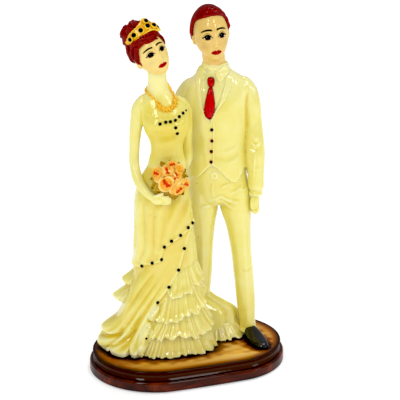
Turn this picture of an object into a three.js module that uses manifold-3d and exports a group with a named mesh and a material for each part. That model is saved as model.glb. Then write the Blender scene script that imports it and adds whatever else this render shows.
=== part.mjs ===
// Wedding cake topper: a bride and groom in cast resin on a two-tier oval base.
// Millimetres, +Z up, origin at the middle of the underside, front of the base towards -Y.
// The couple has its own frame, turned on the base: x to the couple's side, y away from the front, z up.

import * as THREE from "three";
import { mergeVertices } from "three/addons/utils/BufferGeometryUtils.js";
import Module from "manifold-3d";

const wasm = await Module();
wasm.setup();

// Base
const BASE_LENGTH = 100;
const BASE_WIDTH = 68;
const FELT_THICKNESS = 0.8;
const FELT_INSET = 3;
const LOWER_TIER_HEIGHT = 5;
const UPPER_TIER_HEIGHT = 4.5;
const TIER_STEP = 2;
const TIER_ROUND = 1.3;

// Fixings and fits
const FIT_GAP = 0.3;
const SCREW_RADIUS = 1.3;
const SCREW_HEAD_RADIUS = 2.6;
const SCREW_HEAD_HEIGHT = 1.5;
const SCREW_GRIP = 12;

// The couple on the base
const COUPLE_TURN = -20;
const BRIDE_X = -10;
const BRIDE_Y = -5.5;
const GROOM_X = 14.5;
const GROOM_Y = 12;

// Groom, heights from the deck up
const TROUSER_HEM_RISE = 2.5;
const LEG_LENGTH = 67;
const HIPS_HEIGHT = 21;
const JACKET_HEIGHT = 47;
const HIPS_WIDTH = 33.4;
const HIPS_DEPTH = 17.4;
const KNEE_WIDTH = 10.2;
const WAIST_WIDTH = 29.2;
const CHEST_WIDTH = 32.4;
const CHEST_DEPTH = 19;
const JACKET_DROP = 11;
const SLEEVE_WIDTH = 9;
const LAPEL_THICKNESS = 1;
const SHIRT_THICKNESS = 0.6;
const TIE_THICKNESS = 1.4;
const BUTTON_RADIUS = 0.8;
const BUTTON_SPACING = 5.4;
const BUTTON_COUNT = 4;
const SHOE_LENGTH = 26;
const SHOE_WIDTH = 8.6;
const SHOE_HEIGHT = 6;
const GROOM_HEAD_HEIGHT = 25.4;
const GROOM_HEAD_WIDTH = 16.8;
const GROOM_HAIR = 1.4;

// Bride, heights from the deck up
const SKIRT_LENGTH = 95.4;
const HEM_WIDTH = 53;
const HEM_DEPTH = 28;
const SKIRT_HIP_WIDTH = 27;
const BRIDE_WAIST_WIDTH = 15.6;
const BUST_WIDTH = 22.6;
const BRIDE_TORSO_HEIGHT = 44;
const BRIDE_ARM_WIDTH = 5;
const OVERSKIRT_THICKNESS = 1;
const FLOUNCE_COUNT = 4;
const FLOUNCE_DROP = 11;
const FLOUNCE_PLEATS = 16;
const FLOUNCE_THICKNESS = 1.2;
const BRIDE_HEAD_HEIGHT = 22;
const BRIDE_HEAD_WIDTH = 15.4;
const BRIDE_HAIR = 1.4;
const HAIR_LIFT = 2.5;
const BUN_RADIUS = 6.6;
const TIARA_THICKNESS = 1.3;
const NECKLACE_RADIUS = 1.5;
const NECKLACE_SPAN = 6;
const NECKLACE_REACH = 6.2;
const NECKLACE_DROP = 6.6;
const ROSE_RADIUS = 4;
const BOUQUET_RADIUS = 8.8;

// Heights that follow from those
const DECK_Z = FELT_THICKNESS + LOWER_TIER_HEIGHT + UPPER_TIER_HEIGHT;
const SEAT_Z = DECK_Z + FIT_GAP;
const TROUSER_HEM_Z = DECK_Z + TROUSER_HEM_RISE;
const CROTCH_Z = TROUSER_HEM_Z + LEG_LENGTH;
const WAIST_Z = CROTCH_Z + HIPS_HEIGHT;
const COLLAR_Z = WAIST_Z + JACKET_HEIGHT;
const BRIDE_WAIST_Z = SEAT_Z + SKIRT_LENGTH;
const BRIDE_NECK_Z = BRIDE_WAIST_Z + BRIDE_TORSO_HEIGHT;

const DEPTH_AXIS = new THREE.Vector3(0, 1, 0);

// Finishes
const finish = (color, roughness) => new THREE.MeshStandardMaterial({ color, roughness });
const IVORY_RESIN = finish("#f1e58c", 0.25);
const SKIN_RESIN = finish("#e6cd7c", 0.35);
const HAIR_PAINT = finish("#6a0c0a", 0.3);
const GOLD_PAINT = finish("#e2a51c", 0.35);
const ROSE_PAINT = finish("#f0a468", 0.4);
const LEAF_PAINT = finish("#a8901c", 0.45);
const TIE_PAINT = finish("#b4060c", 0.25);
const BUTTON_PAINT = finish("#4a0808", 0.3);
const SHOE_PAINT = finish("#0a0908", 0.15);
const DECK_RESIN = finish("#b57a2a", 0.25);
const TIER_RESIN = finish("#4a1d10", 0.2);
const FELT = finish("#4a2c1c", 0.95);
const STEEL = finish("#9a9a9a", 0.4);

const part = new THREE.Group();
const couple = new THREE.Group();
couple.rotation.z = THREE.MathUtils.degToRad(COUPLE_TURN);
part.add(couple);

function solidOf(positions, triangles) {
  const mesh = new wasm.Mesh({
    numProp: 3,
    vertProperties: new Float32Array(positions),
    triVerts: new Uint32Array(triangles),
  });
  return new wasm.Manifold(mesh);
}

function solidFrom(geometry) {
  geometry.deleteAttribute("normal");
  geometry.deleteAttribute("uv");
  const welded = mergeVertices(geometry, 1e-4);
  const index = welded.index.array;
  const triangles = [];
  for (let k = 0; k < index.length; k += 3) {
    const [a, b, c] = [index[k], index[k + 1], index[k + 2]];
    if (a !== b && b !== c && c !== a) {
      triangles.push(a, b, c);
    }
  }
  return solidOf(welded.attributes.position.array, triangles);
}

function geometryOf(solid) {
  const mesh = solid.getMesh();
  const geometry = new THREE.BufferGeometry();
  geometry.setAttribute("position", new THREE.BufferAttribute(mesh.vertProperties, 3));
  geometry.setIndex(new THREE.BufferAttribute(mesh.triVerts, 1));
  return geometry;
}

// Cuts can leave slivers behind; the casting is the largest piece.
function largest(solid) {
  const pieces = solid.decompose();
  pieces.sort((one, other) => other.volume() - one.volume());
  return pieces[0];
}

function addTo(group, name, solid, material) {
  const mesh = new THREE.Mesh(geometryOf(largest(solid)), material);
  mesh.name = name;
  group.add(mesh);
}

function cut(solid, ...cutters) {
  return cutters.reduce((left, cutter) => left.subtract(cutter), solid);
}

function middleOf(points) {
  const sum = points.reduce((total, point) => total.add(point), new THREE.Vector3());
  return sum.divideScalar(points.length);
}

// Skins a closed solid over rings of equal length, stacked in order and capped at both ends.
function skin(rings) {
  const count = rings[0].length;
  const last = (rings.length - 1) * count;
  const points = [...rings.flat(), middleOf(rings[0]), middleOf(rings.at(-1))];
  const bottom = points.length - 2;
  const top = points.length - 1;
  const faces = [];
  for (let side = 0; side < count; side += 1) {
    const next = (side + 1) % count;
    faces.push(bottom, next, side);
    faces.push(top, last + side, last + next);
    for (let base = 0; base < last; base += count) {
      faces.push(base + side, base + next, base + count + next);
      faces.push(base + side, base + count + next, base + count + side);
    }
  }
  return solidOf(points.flatMap((point) => point.toArray()), faces);
}

// Smooth level sections read between stations [height, x, y, half width, half depth], lowest first.
class Sections {
  constructor(stations) {
    const heights = stations.map((station) => station[0]);
    const values = stations.flatMap((station) => station.slice(1));
    this.curve = new THREE.CubicInterpolant(heights, values, 4, new Float32Array(4));
    this.low = heights[0];
    this.high = heights.at(-1);
  }

  at(height) {
    const [x, y, width, depth] = this.curve.evaluate(height);
    return { x, y, width, depth };
  }

  // The point on the outline at a turn from +x, pushed out by a distance.
  point(height, turn, out) {
    const { x, y, width, depth } = this.at(height);
    const px = x + (width + out) * Math.cos(turn);
    const py = y + (depth + out) * Math.sin(turn);
    return new THREE.Vector3(px, py, height);
  }
}

const noFold = () => 0;

// A body lofted through level sections; grow swells it all round, fold adds relief.
function bodyForm(sections, sides, levels, grow = 0, fold = noFold) {
  const rings = [];
  for (let level = 0; level <= levels; level += 1) {
    const share = level / levels;
    const height = THREE.MathUtils.lerp(sections.low, sections.high, share);
    const ring = [];
    for (let side = 0; side < sides; side += 1) {
      const turn = (2 * Math.PI * side) / sides;
      const point = sections.point(height, turn, grow + fold(turn, share));
      point.z += grow * (2 * share - 1);
      ring.push(point);
    }
    rings.push(ring);
  }
  return skin(rings);
}

// A round limb along stations [x, y, z, radius].
function limbForm(stations, sides, levels, grow = 0) {
  const path = new THREE.CatmullRomCurve3(stations.map(([x, y, z]) => new THREE.Vector3(x, y, z)));
  const girth = new THREE.CatmullRomCurve3(stations.map((station) => new THREE.Vector3(station[3], 0, 0)));
  const rings = [];
  for (let level = 0; level <= levels; level += 1) {
    const share = level / levels;
    const along = path.getTangent(share);
    const across = new THREE.Vector3().crossVectors(along, DEPTH_AXIS).normalize();
    const over = new THREE.Vector3().crossVectors(along, across);
    const middle = path.getPoint(share).addScaledVector(along, grow * (2 * share - 1));
    const radius = girth.getPoint(share).x + grow;
    const ring = [];
    for (let side = 0; side < sides; side += 1) {
      const turn = (2 * Math.PI * side) / sides;
      const point = middle.clone().addScaledVector(across, radius * Math.cos(turn));
      ring.push(point.addScaledVector(over, radius * Math.sin(turn)));
    }
    rings.push(ring);
  }
  return skin(rings);
}

function ellipsoid(x, y, z, width, depth, height, grow = 0) {
  const ball = new THREE.SphereGeometry(1, 12, 8);
  ball.rotateX(Math.PI / 2);
  ball.scale(width / 2 + grow, depth / 2 + grow, height / 2 + grow);
  ball.translate(x, y, z);
  return solidFrom(ball);
}

// A prism over an outline of [x, z] points, reaching from a back plane towards the front.
function frontPrism(outline, back, depth) {
  const shape = new THREE.Shape(outline.map(([x, z]) => new THREE.Vector2(x, z)));
  const prism = new THREE.ExtrudeGeometry(shape, { depth, bevelEnabled: false });
  prism.rotateX(Math.PI / 2);
  prism.translate(0, back, 0);
  return solidFrom(prism);
}

function frontRod(x, z, radius, back, depth) {
  const rod = new THREE.CylinderGeometry(radius, radius, depth, 16);
  rod.translate(x, back - depth / 2, z);
  return solidFrom(rod);
}

// Outline of an oval plate at an inset, one point for each side, counter-clockwise.
function ovalRing(inset, height, sides) {
  const radius = BASE_WIDTH / 2 - inset;
  const straight = (BASE_LENGTH - BASE_WIDTH) / 2;
  const ring = [];
  for (let side = 0; side < sides; side += 1) {
    const turn = (2 * Math.PI * (side + 0.5)) / sides;
    const shift = Math.cos(turn) > 0 ? straight : -straight;
    ring.push(new THREE.Vector3(shift + radius * Math.cos(turn), radius * Math.sin(turn), height));
  }
  return ring;
}

function ovalPlate(profile) {
  return skin(profile.map(([inset, height]) => ovalRing(inset, height, 40)));
}

// Quarter round from a side wall into a top face, as [inset, height] pairs.
function roundOver(inset, top, radius) {
  const steps = [];
  for (let step = 0; step <= 3; step += 1) {
    const turn = (Math.PI / 6) * step;
    steps.push([inset + radius * (1 - Math.cos(turn)), top - radius * (1 - Math.sin(turn))]);
  }
  return steps;
}

// Countersunk screw standing on its head, point up.
function screwForm(x, y, tip, grow = 0) {
  const low = FELT_THICKNESS - grow;
  const neck = FELT_THICKNESS + SCREW_HEAD_HEIGHT + grow;
  const profile = [
    [0, low],
    [SCREW_HEAD_RADIUS + grow, low],
    [SCREW_HEAD_RADIUS + grow, FELT_THICKNESS + 0.3 + grow],
    [SCREW_RADIUS + grow, neck],
    [SCREW_RADIUS + grow, tip - SCREW_RADIUS],
    [0, tip + grow],
  ];
  const lathe = new THREE.LatheGeometry(profile.map(([r, z]) => new THREE.Vector2(r, z)), 20);
  lathe.rotateX(Math.PI / 2);
  lathe.scale(1, -1, 1);
  lathe.index.array.reverse();
  lathe.translate(x, y, 0);
  return solidFrom(lathe);
}

function turned(x, y) {
  const spot = new THREE.Vector3(x, y, 0);
  return spot.applyAxisAngle(new THREE.Vector3(0, 0, 1), couple.rotation.z);
}

// Where the screws come up, in the couple's frame: two in the skirt, one in the groom's left leg.
const LEG_SCREW_X = GROOM_X + 16.6;
const LEG_SCREW_Y = GROOM_Y - 2.4;
const SCREWS = [
  ["skirt_screw_left", BRIDE_X - 20, BRIDE_Y],
  ["skirt_screw_right", BRIDE_X + 6, BRIDE_Y],
  ["leg_screw", LEG_SCREW_X, LEG_SCREW_Y],
];
const SCREW_TIP = DECK_Z + SCREW_GRIP;

function screwCutters() {
  return SCREWS.map(([, x, y]) => screwForm(x, y, SCREW_TIP, FIT_GAP));
}

function addBase() {
  const tierTop = FELT_THICKNESS + LOWER_TIER_HEIGHT;
  const felt = ovalPlate([[FELT_INSET, 0], [FELT_INSET, FELT_THICKNESS]]);
  const lower = ovalPlate([
    [0.6, FELT_THICKNESS],
    [0, FELT_THICKNESS + 0.6],
    ...roundOver(0, tierTop, TIER_ROUND),
  ]);
  const cove = [];
  for (let step = 0; step <= 4; step += 1) {
    const share = step / 4;
    const hollow = 0.7 * Math.sin(Math.PI * share);
    cove.push([TIER_STEP - 0.4 + 0.4 * share + hollow, tierTop + UPPER_TIER_HEIGHT * share]);
  }
  const upper = ovalPlate(cove);
  const bores = SCREWS.map(([, x, y]) => {
    const spot = turned(x, y);
    return screwForm(spot.x, spot.y, SCREW_TIP, FIT_GAP);
  });
  addTo(part, "felt_pad", felt, FELT);
  addTo(part, "base_lower_tier", cut(lower, ...bores), TIER_RESIN);
  addTo(part, "base_upper_tier", cut(upper, ...bores), DECK_RESIN);
  for (const [name, x, y] of SCREWS) {
    const spot = turned(x, y);
    addTo(part, name, screwForm(spot.x, spot.y, SCREW_TIP), STEEL);
  }
}

// Groom's trousers: one leg either side of the hips block.
function legSections(side) {
  const middle = GROOM_X + 1.3;
  const quarter = HIPS_WIDTH / 4;
  const rise = (share) => TROUSER_HEM_Z + share * (LEG_LENGTH - FIT_GAP);
  const low = side > 0 ? TROUSER_HEM_Z : SEAT_Z;
  const lean = side > 0 ? [6.8, -2.4] : [-2.6, 2];
  const spot = (share) => {
    const bow = (side > 0 ? 0.6 : 1.4) * Math.sin(Math.PI * share);
    const x = middle + side * quarter + lean[0] * (1 - share) + bow;
    return [x, GROOM_Y + lean[1] * (1 - share)];
  };
  const knee = KNEE_WIDTH / 2;
  return new Sections([
    [low, ...spot(0), knee - 0.7, knee - 0.3],
    [rise(0.25), ...spot(0.25), knee - 0.3, knee],
    [rise(0.48), ...spot(0.48), knee, knee + 0.4],
    [rise(0.66), ...spot(0.66), knee + 0.2, knee + 1],
    [rise(0.83), ...spot(0.83), knee + 1.2, knee + 1.9],
    [rise(1), ...spot(1), quarter - 0.3, HIPS_DEPTH / 2 - 0.6],
  ]);
}

const LEFT_LEG = legSections(1);
const RIGHT_LEG = legSections(-1);
const leftLegForm = (grow) => bodyForm(LEFT_LEG, 16, 8, grow);
const rightLegForm = (grow) => bodyForm(RIGHT_LEG, 16, 8, grow);

const HIPS = new Sections([
  [CROTCH_Z, GROOM_X + 1.3, GROOM_Y, HIPS_WIDTH / 2, HIPS_DEPTH / 2],
  [CROTCH_Z + 6, GROOM_X + 1, GROOM_Y, HIPS_WIDTH / 2 - 0.4, HIPS_DEPTH / 2 + 0.1],
  [CROTCH_Z + 13, GROOM_X + 0.4, GROOM_Y, HIPS_WIDTH / 2 - 1.5, HIPS_DEPTH / 2 - 0.2],
  [WAIST_Z, GROOM_X, GROOM_Y, WAIST_WIDTH / 2 - 0.9, CHEST_DEPTH / 2 - 1.1],
]);
const hipsForm = (grow) => bodyForm(HIPS, 24, 6, grow);

const JACKET = new Sections([
  [WAIST_Z - JACKET_DROP, GROOM_X + 0.3, GROOM_Y, HIPS_WIDTH / 2 - 0.2, HIPS_DEPTH / 2 + 0.9],
  [WAIST_Z, GROOM_X, GROOM_Y, WAIST_WIDTH / 2 + 0.6, CHEST_DEPTH / 2 + 0.2],
  [WAIST_Z + 8, GROOM_X - 0.4, GROOM_Y + 0.2, WAIST_WIDTH / 2, CHEST_DEPTH / 2 - 0.4],
  [WAIST_Z + 17, GROOM_X - 0.6, GROOM_Y + 0.4, CHEST_WIDTH / 2 - 0.8, CHEST_DEPTH / 2],
  [WAIST_Z + 27, GROOM_X - 0.6, GROOM_Y + 0.6, CHEST_WIDTH / 2, CHEST_DEPTH / 2 + 0.1],
  [WAIST_Z + 35, GROOM_X, GROOM_Y + 0.8, CHEST_WIDTH / 2 + 0.3, CHEST_DEPTH / 2 - 0.9],
  [WAIST_Z + 40, GROOM_X + 0.8, GROOM_Y + 1, CHEST_WIDTH / 2 - 0.6, CHEST_DEPTH / 2 - 2.2],
  [WAIST_Z + 43.6, GROOM_X + 0.4, GROOM_Y + 1, CHEST_WIDTH / 2 - 4.6, CHEST_DEPTH / 2 - 2.9],
  [COLLAR_Z, GROOM_X - 0.8, GROOM_Y + 1, CHEST_WIDTH / 2 - 8.6, CHEST_DEPTH / 2 - 3.3],
]);
const jacketForm = (grow) => bodyForm(JACKET, 22, 12, grow);

const jacketShell = (inner, outer) => jacketForm(outer).subtract(jacketForm(inner));
const onJacket = (outline, inner, outer) => {
  return jacketShell(inner, outer).intersect(frontPrism(outline, GROOM_Y, CHEST_DEPTH * 1.5));
};

const groomX = (offset) => GROOM_X + offset;
const chestZ = (offset) => WAIST_Z + offset;

function addTrousers() {
  const [, , legScrew] = screwCutters();
  addTo(couple, "groom_hips", hipsForm(0), IVORY_RESIN);
  addTo(couple, "groom_left_leg", cut(leftLegForm(0), legScrew), IVORY_RESIN);
  addTo(couple, "groom_right_leg", cut(rightLegForm(0), skirtForm(FIT_GAP)), IVORY_RESIN);
  const flat = hipsForm(FIT_GAP + 0.7).subtract(hipsForm(FIT_GAP));
  const button = flat.intersect(frontRod(groomX(-1.8), WAIST_Z - 4.4, 2, GROOM_Y, CHEST_DEPTH * 1.5));
  addTo(couple, "waistband_button", button, IVORY_RESIN);
}

// Pointed front hem: everything of the jacket below this line is cut away at the front.
function jacketHemCutter() {
  const far = HIPS_WIDTH;
  const low = WAIST_Z - JACKET_DROP - 5;
  return frontPrism([
    [groomX(-far), low],
    [groomX(far), low],
    [groomX(far), chestZ(0.8)],
    [groomX(14.7), chestZ(-0.4)],
    [groomX(7.9), chestZ(-8.2)],
    [groomX(-2.6), chestZ(0.4)],
    [groomX(-12.1), chestZ(-6)],
    [groomX(-far), chestZ(-4)],
  ], GROOM_Y, CHEST_DEPTH * 1.5);
}

function addJacket() {
  const jacket = cut(jacketForm(0), hipsForm(FIT_GAP), jacketHemCutter());
  addTo(couple, "groom_jacket", jacket, IVORY_RESIN);
}

const SHIRT_V = [[-7.4, 46], [4.4, 46], [-0.2, 30], [-2.7, 23.2], [-5.7, 30]];

function addShirtAndTie() {
  const v = SHIRT_V.map(([x, z]) => [groomX(x), chestZ(z)]);
  addTo(couple, "shirt_front", onJacket(v, FIT_GAP, FIT_GAP + SHIRT_THICKNESS), IVORY_RESIN);
  const inner = 2 * FIT_GAP + SHIRT_THICKNESS;
  const blade = [[-4.2, 40], [-1.6, 40], [-0.7, 30], [-3.1, 24], [-5.4, 30]];
  const knot = [[-5, 44], [-0.6, 44], [-1.4, 40 + FIT_GAP], [-4.4, 40 + FIT_GAP]];
  const place = ([x, z]) => [groomX(x), chestZ(z)];
  addTo(couple, "tie_blade", onJacket(blade.map(place), inner, inner + TIE_THICKNESS), TIE_PAINT);
  addTo(couple, "tie_knot", onJacket(knot.map(place), inner, inner + TIE_THICKNESS * 1.4), TIE_PAINT);
}

function addLapels() {
  const place = ([x, z]) => [groomX(x), chestZ(z)];
  const left = [
    [-7.8, 45], [-6.1, 30], [-3.1, 23.4], [-3.2, 22.2],
    [-5.8, 24.2], [-9.2, 30], [-10.4, 40.6], [-9.6, 44],
  ];
  const right = [
    [4.8, 45], [0.2, 30], [-2.3, 23.4], [-2.2, 22.2],
    [1.6, 29.8], [7.4, 39], [6, 41.4], [6.4, 44],
  ];
  const outer = FIT_GAP + LAPEL_THICKNESS;
  addTo(couple, "lapel_left", onJacket(left.map(place).reverse(), FIT_GAP, outer), IVORY_RESIN);
  addTo(couple, "lapel_right", onJacket(right.map(place), FIT_GAP, outer), IVORY_RESIN);
}

function addJacketButtons() {
  for (let k = 0; k < BUTTON_COUNT; k += 1) {
    const height = chestZ(18.6 - k * BUTTON_SPACING);
    const rod = frontRod(groomX(-2.4), height, BUTTON_RADIUS, GROOM_Y, CHEST_DEPTH * 1.5);
    const button = jacketShell(FIT_GAP, FIT_GAP + 1).intersect(rod);
    addTo(couple, `jacket_button_${k + 1}`, button, BUTTON_PAINT);
  }
}

// Shirt collar: a leaning ring that stands on the jacket's neck, open to the groom's neck inside.
const COLLAR = new Sections([
  [COLLAR_Z + FIT_GAP, GROOM_X - 0.8, GROOM_Y + 1, CHEST_WIDTH / 2 - 8.8, CHEST_DEPTH / 2 - 3.4],
  [COLLAR_Z + 3.4, GROOM_X - 0.8, GROOM_Y + 0.4, CHEST_WIDTH / 2 - 9.2, CHEST_DEPTH / 2 - 3.2],
]);

const GROOM_NECK_RADIUS = 5.1;

function groomNeckForm(grow) {
  const x = GROOM_X - 0.9;
  return limbForm([
    [x, GROOM_Y + 1, COLLAR_Z + FIT_GAP, GROOM_NECK_RADIUS],
    [x - 0.4, GROOM_Y + 0.6, COLLAR_Z + 5, GROOM_NECK_RADIUS - 0.3],
    [x - 1, GROOM_Y + 0.2, COLLAR_Z + 10, GROOM_NECK_RADIUS],
  ], 14, 3, grow);
}

// A head in its own frame, face towards -y: an egg with a jaw, a nose and, for some, ears.
function headForm(width, height, grow) {
  const depth = width * 1.22;
  const ball = new THREE.SphereGeometry(1, 18, 12);
  ball.rotateX(Math.PI / 2);
  const spots = ball.attributes.position;
  const spot = new THREE.Vector3();
  for (let k = 0; k < spots.count; k += 1) {
    spot.fromBufferAttribute(spots, k);
    const low = Math.max(0, -spot.z);
    const front = Math.max(0, -spot.y);
    const nose = 0.09 * Math.exp(-((spot.x / 0.14) ** 2) - (((spot.z + 0.22) / 0.16) ** 2)) * front;
    const x = spot.x * (width / 2 + grow) * (1 - 0.3 * low * low);
    const y = (spot.y - nose) * (depth / 2 + grow) * (1 - 0.22 * low) - 0.2 * depth * low * low;
    spots.setXYZ(k, x, y, spot.z * (height / 2 + grow));
  }
  return solidFrom(ball);
}

// Places a head: lean sideways, turn about its own axis, nod.
function headPlace(x, y, z, lean, turn, nod) {
  const matrix = new THREE.Matrix4().makeTranslation(x, y, z);
  matrix.multiply(new THREE.Matrix4().makeRotationY(THREE.MathUtils.degToRad(lean)));
  matrix.multiply(new THREE.Matrix4().makeRotationZ(THREE.MathUtils.degToRad(turn)));
  matrix.multiply(new THREE.Matrix4().makeRotationX(THREE.MathUtils.degToRad(nod)));
  return matrix.toArray();
}

const GROOM_HEAD_PLACE = headPlace(
  GROOM_X - 3, GROOM_Y - 0.4, COLLAR_Z + 4.4 + GROOM_HEAD_HEIGHT / 2, -8, 12, 0,
);

function addGroomHead() {
  const head = (grow) => headForm(GROOM_HEAD_WIDTH, GROOM_HEAD_HEIGHT, grow);
  const ear = (side, grow) => ellipsoid(side * GROOM_HEAD_WIDTH * 0.5, 0.6, -1.2, 2.4, 3.4, 6.6, grow);
  const ears = [ear(-1, 0), ear(1, 0)];
  const skull = ears.reduce((joined, one) => joined.add(one), head(0));
  const bust = skull.transform(GROOM_HEAD_PLACE).add(groomNeckForm(0));
  addTo(couple, "groom_head", cut(bust, jacketForm(FIT_GAP)), SKIN_RESIN);
  const cap = head(FIT_GAP + GROOM_HAIR).subtract(head(FIT_GAP));
  const line = new THREE.Vector3(0.12, 0.62, 1).normalize();
  const hair = cap.trimByPlane(line.toArray(), 0.06 * GROOM_HEAD_HEIGHT);
  const clear = cut(hair, ear(-1, FIT_GAP), ear(1, FIT_GAP));
  addTo(couple, "groom_hair", clear.transform(GROOM_HEAD_PLACE), HAIR_PAINT);
  const jaw = head(FIT_GAP).transform(GROOM_HEAD_PLACE);
  addTo(couple, "shirt_collar", cut(bodyForm(COLLAR, 20, 2), groomNeckForm(FIT_GAP), jaw), IVORY_RESIN);
}

// Groom's left arm hangs at the side; the right one goes behind the bride's back.
const LEFT_SLEEVE = [
  [GROOM_X + 11.6, GROOM_Y + 1, COLLAR_Z - 6, SLEEVE_WIDTH / 4],
  [GROOM_X + 14.8, GROOM_Y + 0.9, COLLAR_Z - 9.2, SLEEVE_WIDTH / 2 - 0.3],
  [GROOM_X + 17, GROOM_Y + 0.6, COLLAR_Z - 16.5, SLEEVE_WIDTH / 2 - 0.1],
  [GROOM_X + 18.4, GROOM_Y, COLLAR_Z - 26, SLEEVE_WIDTH / 2 - 0.6],
  [GROOM_X + 19, GROOM_Y - 1, COLLAR_Z - 36, SLEEVE_WIDTH / 2],
  [GROOM_X + 19.2, GROOM_Y - 2, COLLAR_Z - 42, SLEEVE_WIDTH / 2 + 0.2],
  [GROOM_X + 19.4, GROOM_Y - 3, COLLAR_Z - 51, SLEEVE_WIDTH / 2 - 0.3],
  [GROOM_X + 19.6, GROOM_Y - 3.8, COLLAR_Z - 59.5, SLEEVE_WIDTH / 2 - 0.6],
];
const RIGHT_SLEEVE = [
  [GROOM_X - 11.4, GROOM_Y + 1, COLLAR_Z - 7.6, SLEEVE_WIDTH / 4],
  [GROOM_X - 14.6, GROOM_Y + 1.2, COLLAR_Z - 11, SLEEVE_WIDTH / 2 - 0.3],
  [GROOM_X - 17.2, GROOM_Y + 2.6, COLLAR_Z - 18, SLEEVE_WIDTH / 2 - 0.1],
  [GROOM_X - 19.4, GROOM_Y + 3.8, COLLAR_Z - 26, SLEEVE_WIDTH / 2 - 0.4],
  [GROOM_X - 20.6, GROOM_Y + 3, COLLAR_Z - 33.6, SLEEVE_WIDTH / 2],
  [GROOM_X - 21.4, GROOM_Y - 0.4, COLLAR_Z - 38, SLEEVE_WIDTH / 2 - 0.3],
  [GROOM_X - 22.4, GROOM_Y - 3.6, COLLAR_Z - 39.6, SLEEVE_WIDTH / 2 - 0.9],
];

function addSleeves() {
  const body = [jacketForm(FIT_GAP), hipsForm(FIT_GAP)];
  addTo(couple, "groom_left_sleeve", cut(limbForm(LEFT_SLEEVE, 12, 11), ...body), IVORY_RESIN);
  const behind = cut(limbForm(RIGHT_SLEEVE, 12, 10), ...body, bodiceForm(FIT_GAP), overskirtForm(FIT_GAP));
  addTo(couple, "groom_right_sleeve", behind, IVORY_RESIN);
  const [x, y, z] = LEFT_SLEEVE.at(-1);
  const cuffRadius = SLEEVE_WIDTH / 2 - 1.4;
  const cuffTop = z - FIT_GAP;
  const cuff = limbForm([
    [x, y, cuffTop, cuffRadius],
    [x - 0.2, y - 0.2, cuffTop - 2.6, cuffRadius + 0.1],
  ], 16, 2);
  addTo(couple, "groom_left_cuff", cut(cuff, hipsForm(FIT_GAP)), IVORY_RESIN);
  const handTop = cuffTop - 2.6 - FIT_GAP;
  const hand = limbForm([
    [x - 0.3, y - 0.2, handTop, 1.9],
    [x - 0.5, y - 0.5, handTop - 2.6, 2.5],
    [x - 0.8, y - 0.6, handTop - 5.8, 2.4],
    [x - 1.2, y - 0.4, handTop - 9.2, 1.3],
  ], 10, 6);
  addTo(couple, "groom_left_hand", cut(hand, hipsForm(FIT_GAP), leftLegForm(FIT_GAP)), SKIN_RESIN);
  const [ex, ey, ez] = RIGHT_SLEEVE.at(-1);
  const palm = ellipsoid(ex - 3, ey - 2.6, ez - 0.6, 8, 4.4, 5);
  const around = [limbForm(RIGHT_SLEEVE, 12, 10, FIT_GAP), bodiceForm(FIT_GAP), overskirtForm(FIT_GAP)];
  addTo(couple, "groom_right_hand", cut(palm, ...around), SKIN_RESIN);
}

// Left shoe: sole outline from heel to toe, turned towards the front of the base.
const SHOE_TURN = 22;
const SHOE_HEEL = 5.4;

function shoeForm(grow) {
  const half = SHOE_WIDTH / 2;
  const stations = [
    [0, 0.55, 0.9], [0.12, 0.86, 1], [0.34, 0.84, 1],
    [0.62, 1, 0.66], [0.84, 0.8, 0.5], [1, 0.3, 0.3],
  ];
  const rings = stations.map(([share, wide, tall]) => {
    const ring = [];
    for (let side = 0; side < 16; side += 1) {
      const turn = (2 * Math.PI * side) / 16;
      const x = (half * wide + grow) * Math.cos(turn);
      const rise = (SHOE_HEIGHT * tall * (1 + Math.sin(turn))) / 2 + grow * Math.sin(turn);
      ring.push(new THREE.Vector3(x, SHOE_HEEL - share * SHOE_LENGTH, rise));
    }
    return ring;
  });
  const flat = SEAT_Z - 0.6;
  const form = skin(rings).rotate([0, 0, SHOE_TURN]).translate([LEG_SCREW_X, LEG_SCREW_Y, flat]);
  return form.trimByPlane([0, 0, 1], SEAT_Z - grow);
}

function addShoe() {
  const [, , legScrew] = screwCutters();
  addTo(couple, "groom_left_shoe", cut(shoeForm(0), leftLegForm(FIT_GAP), legScrew), SHOE_PAINT);
}

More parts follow.
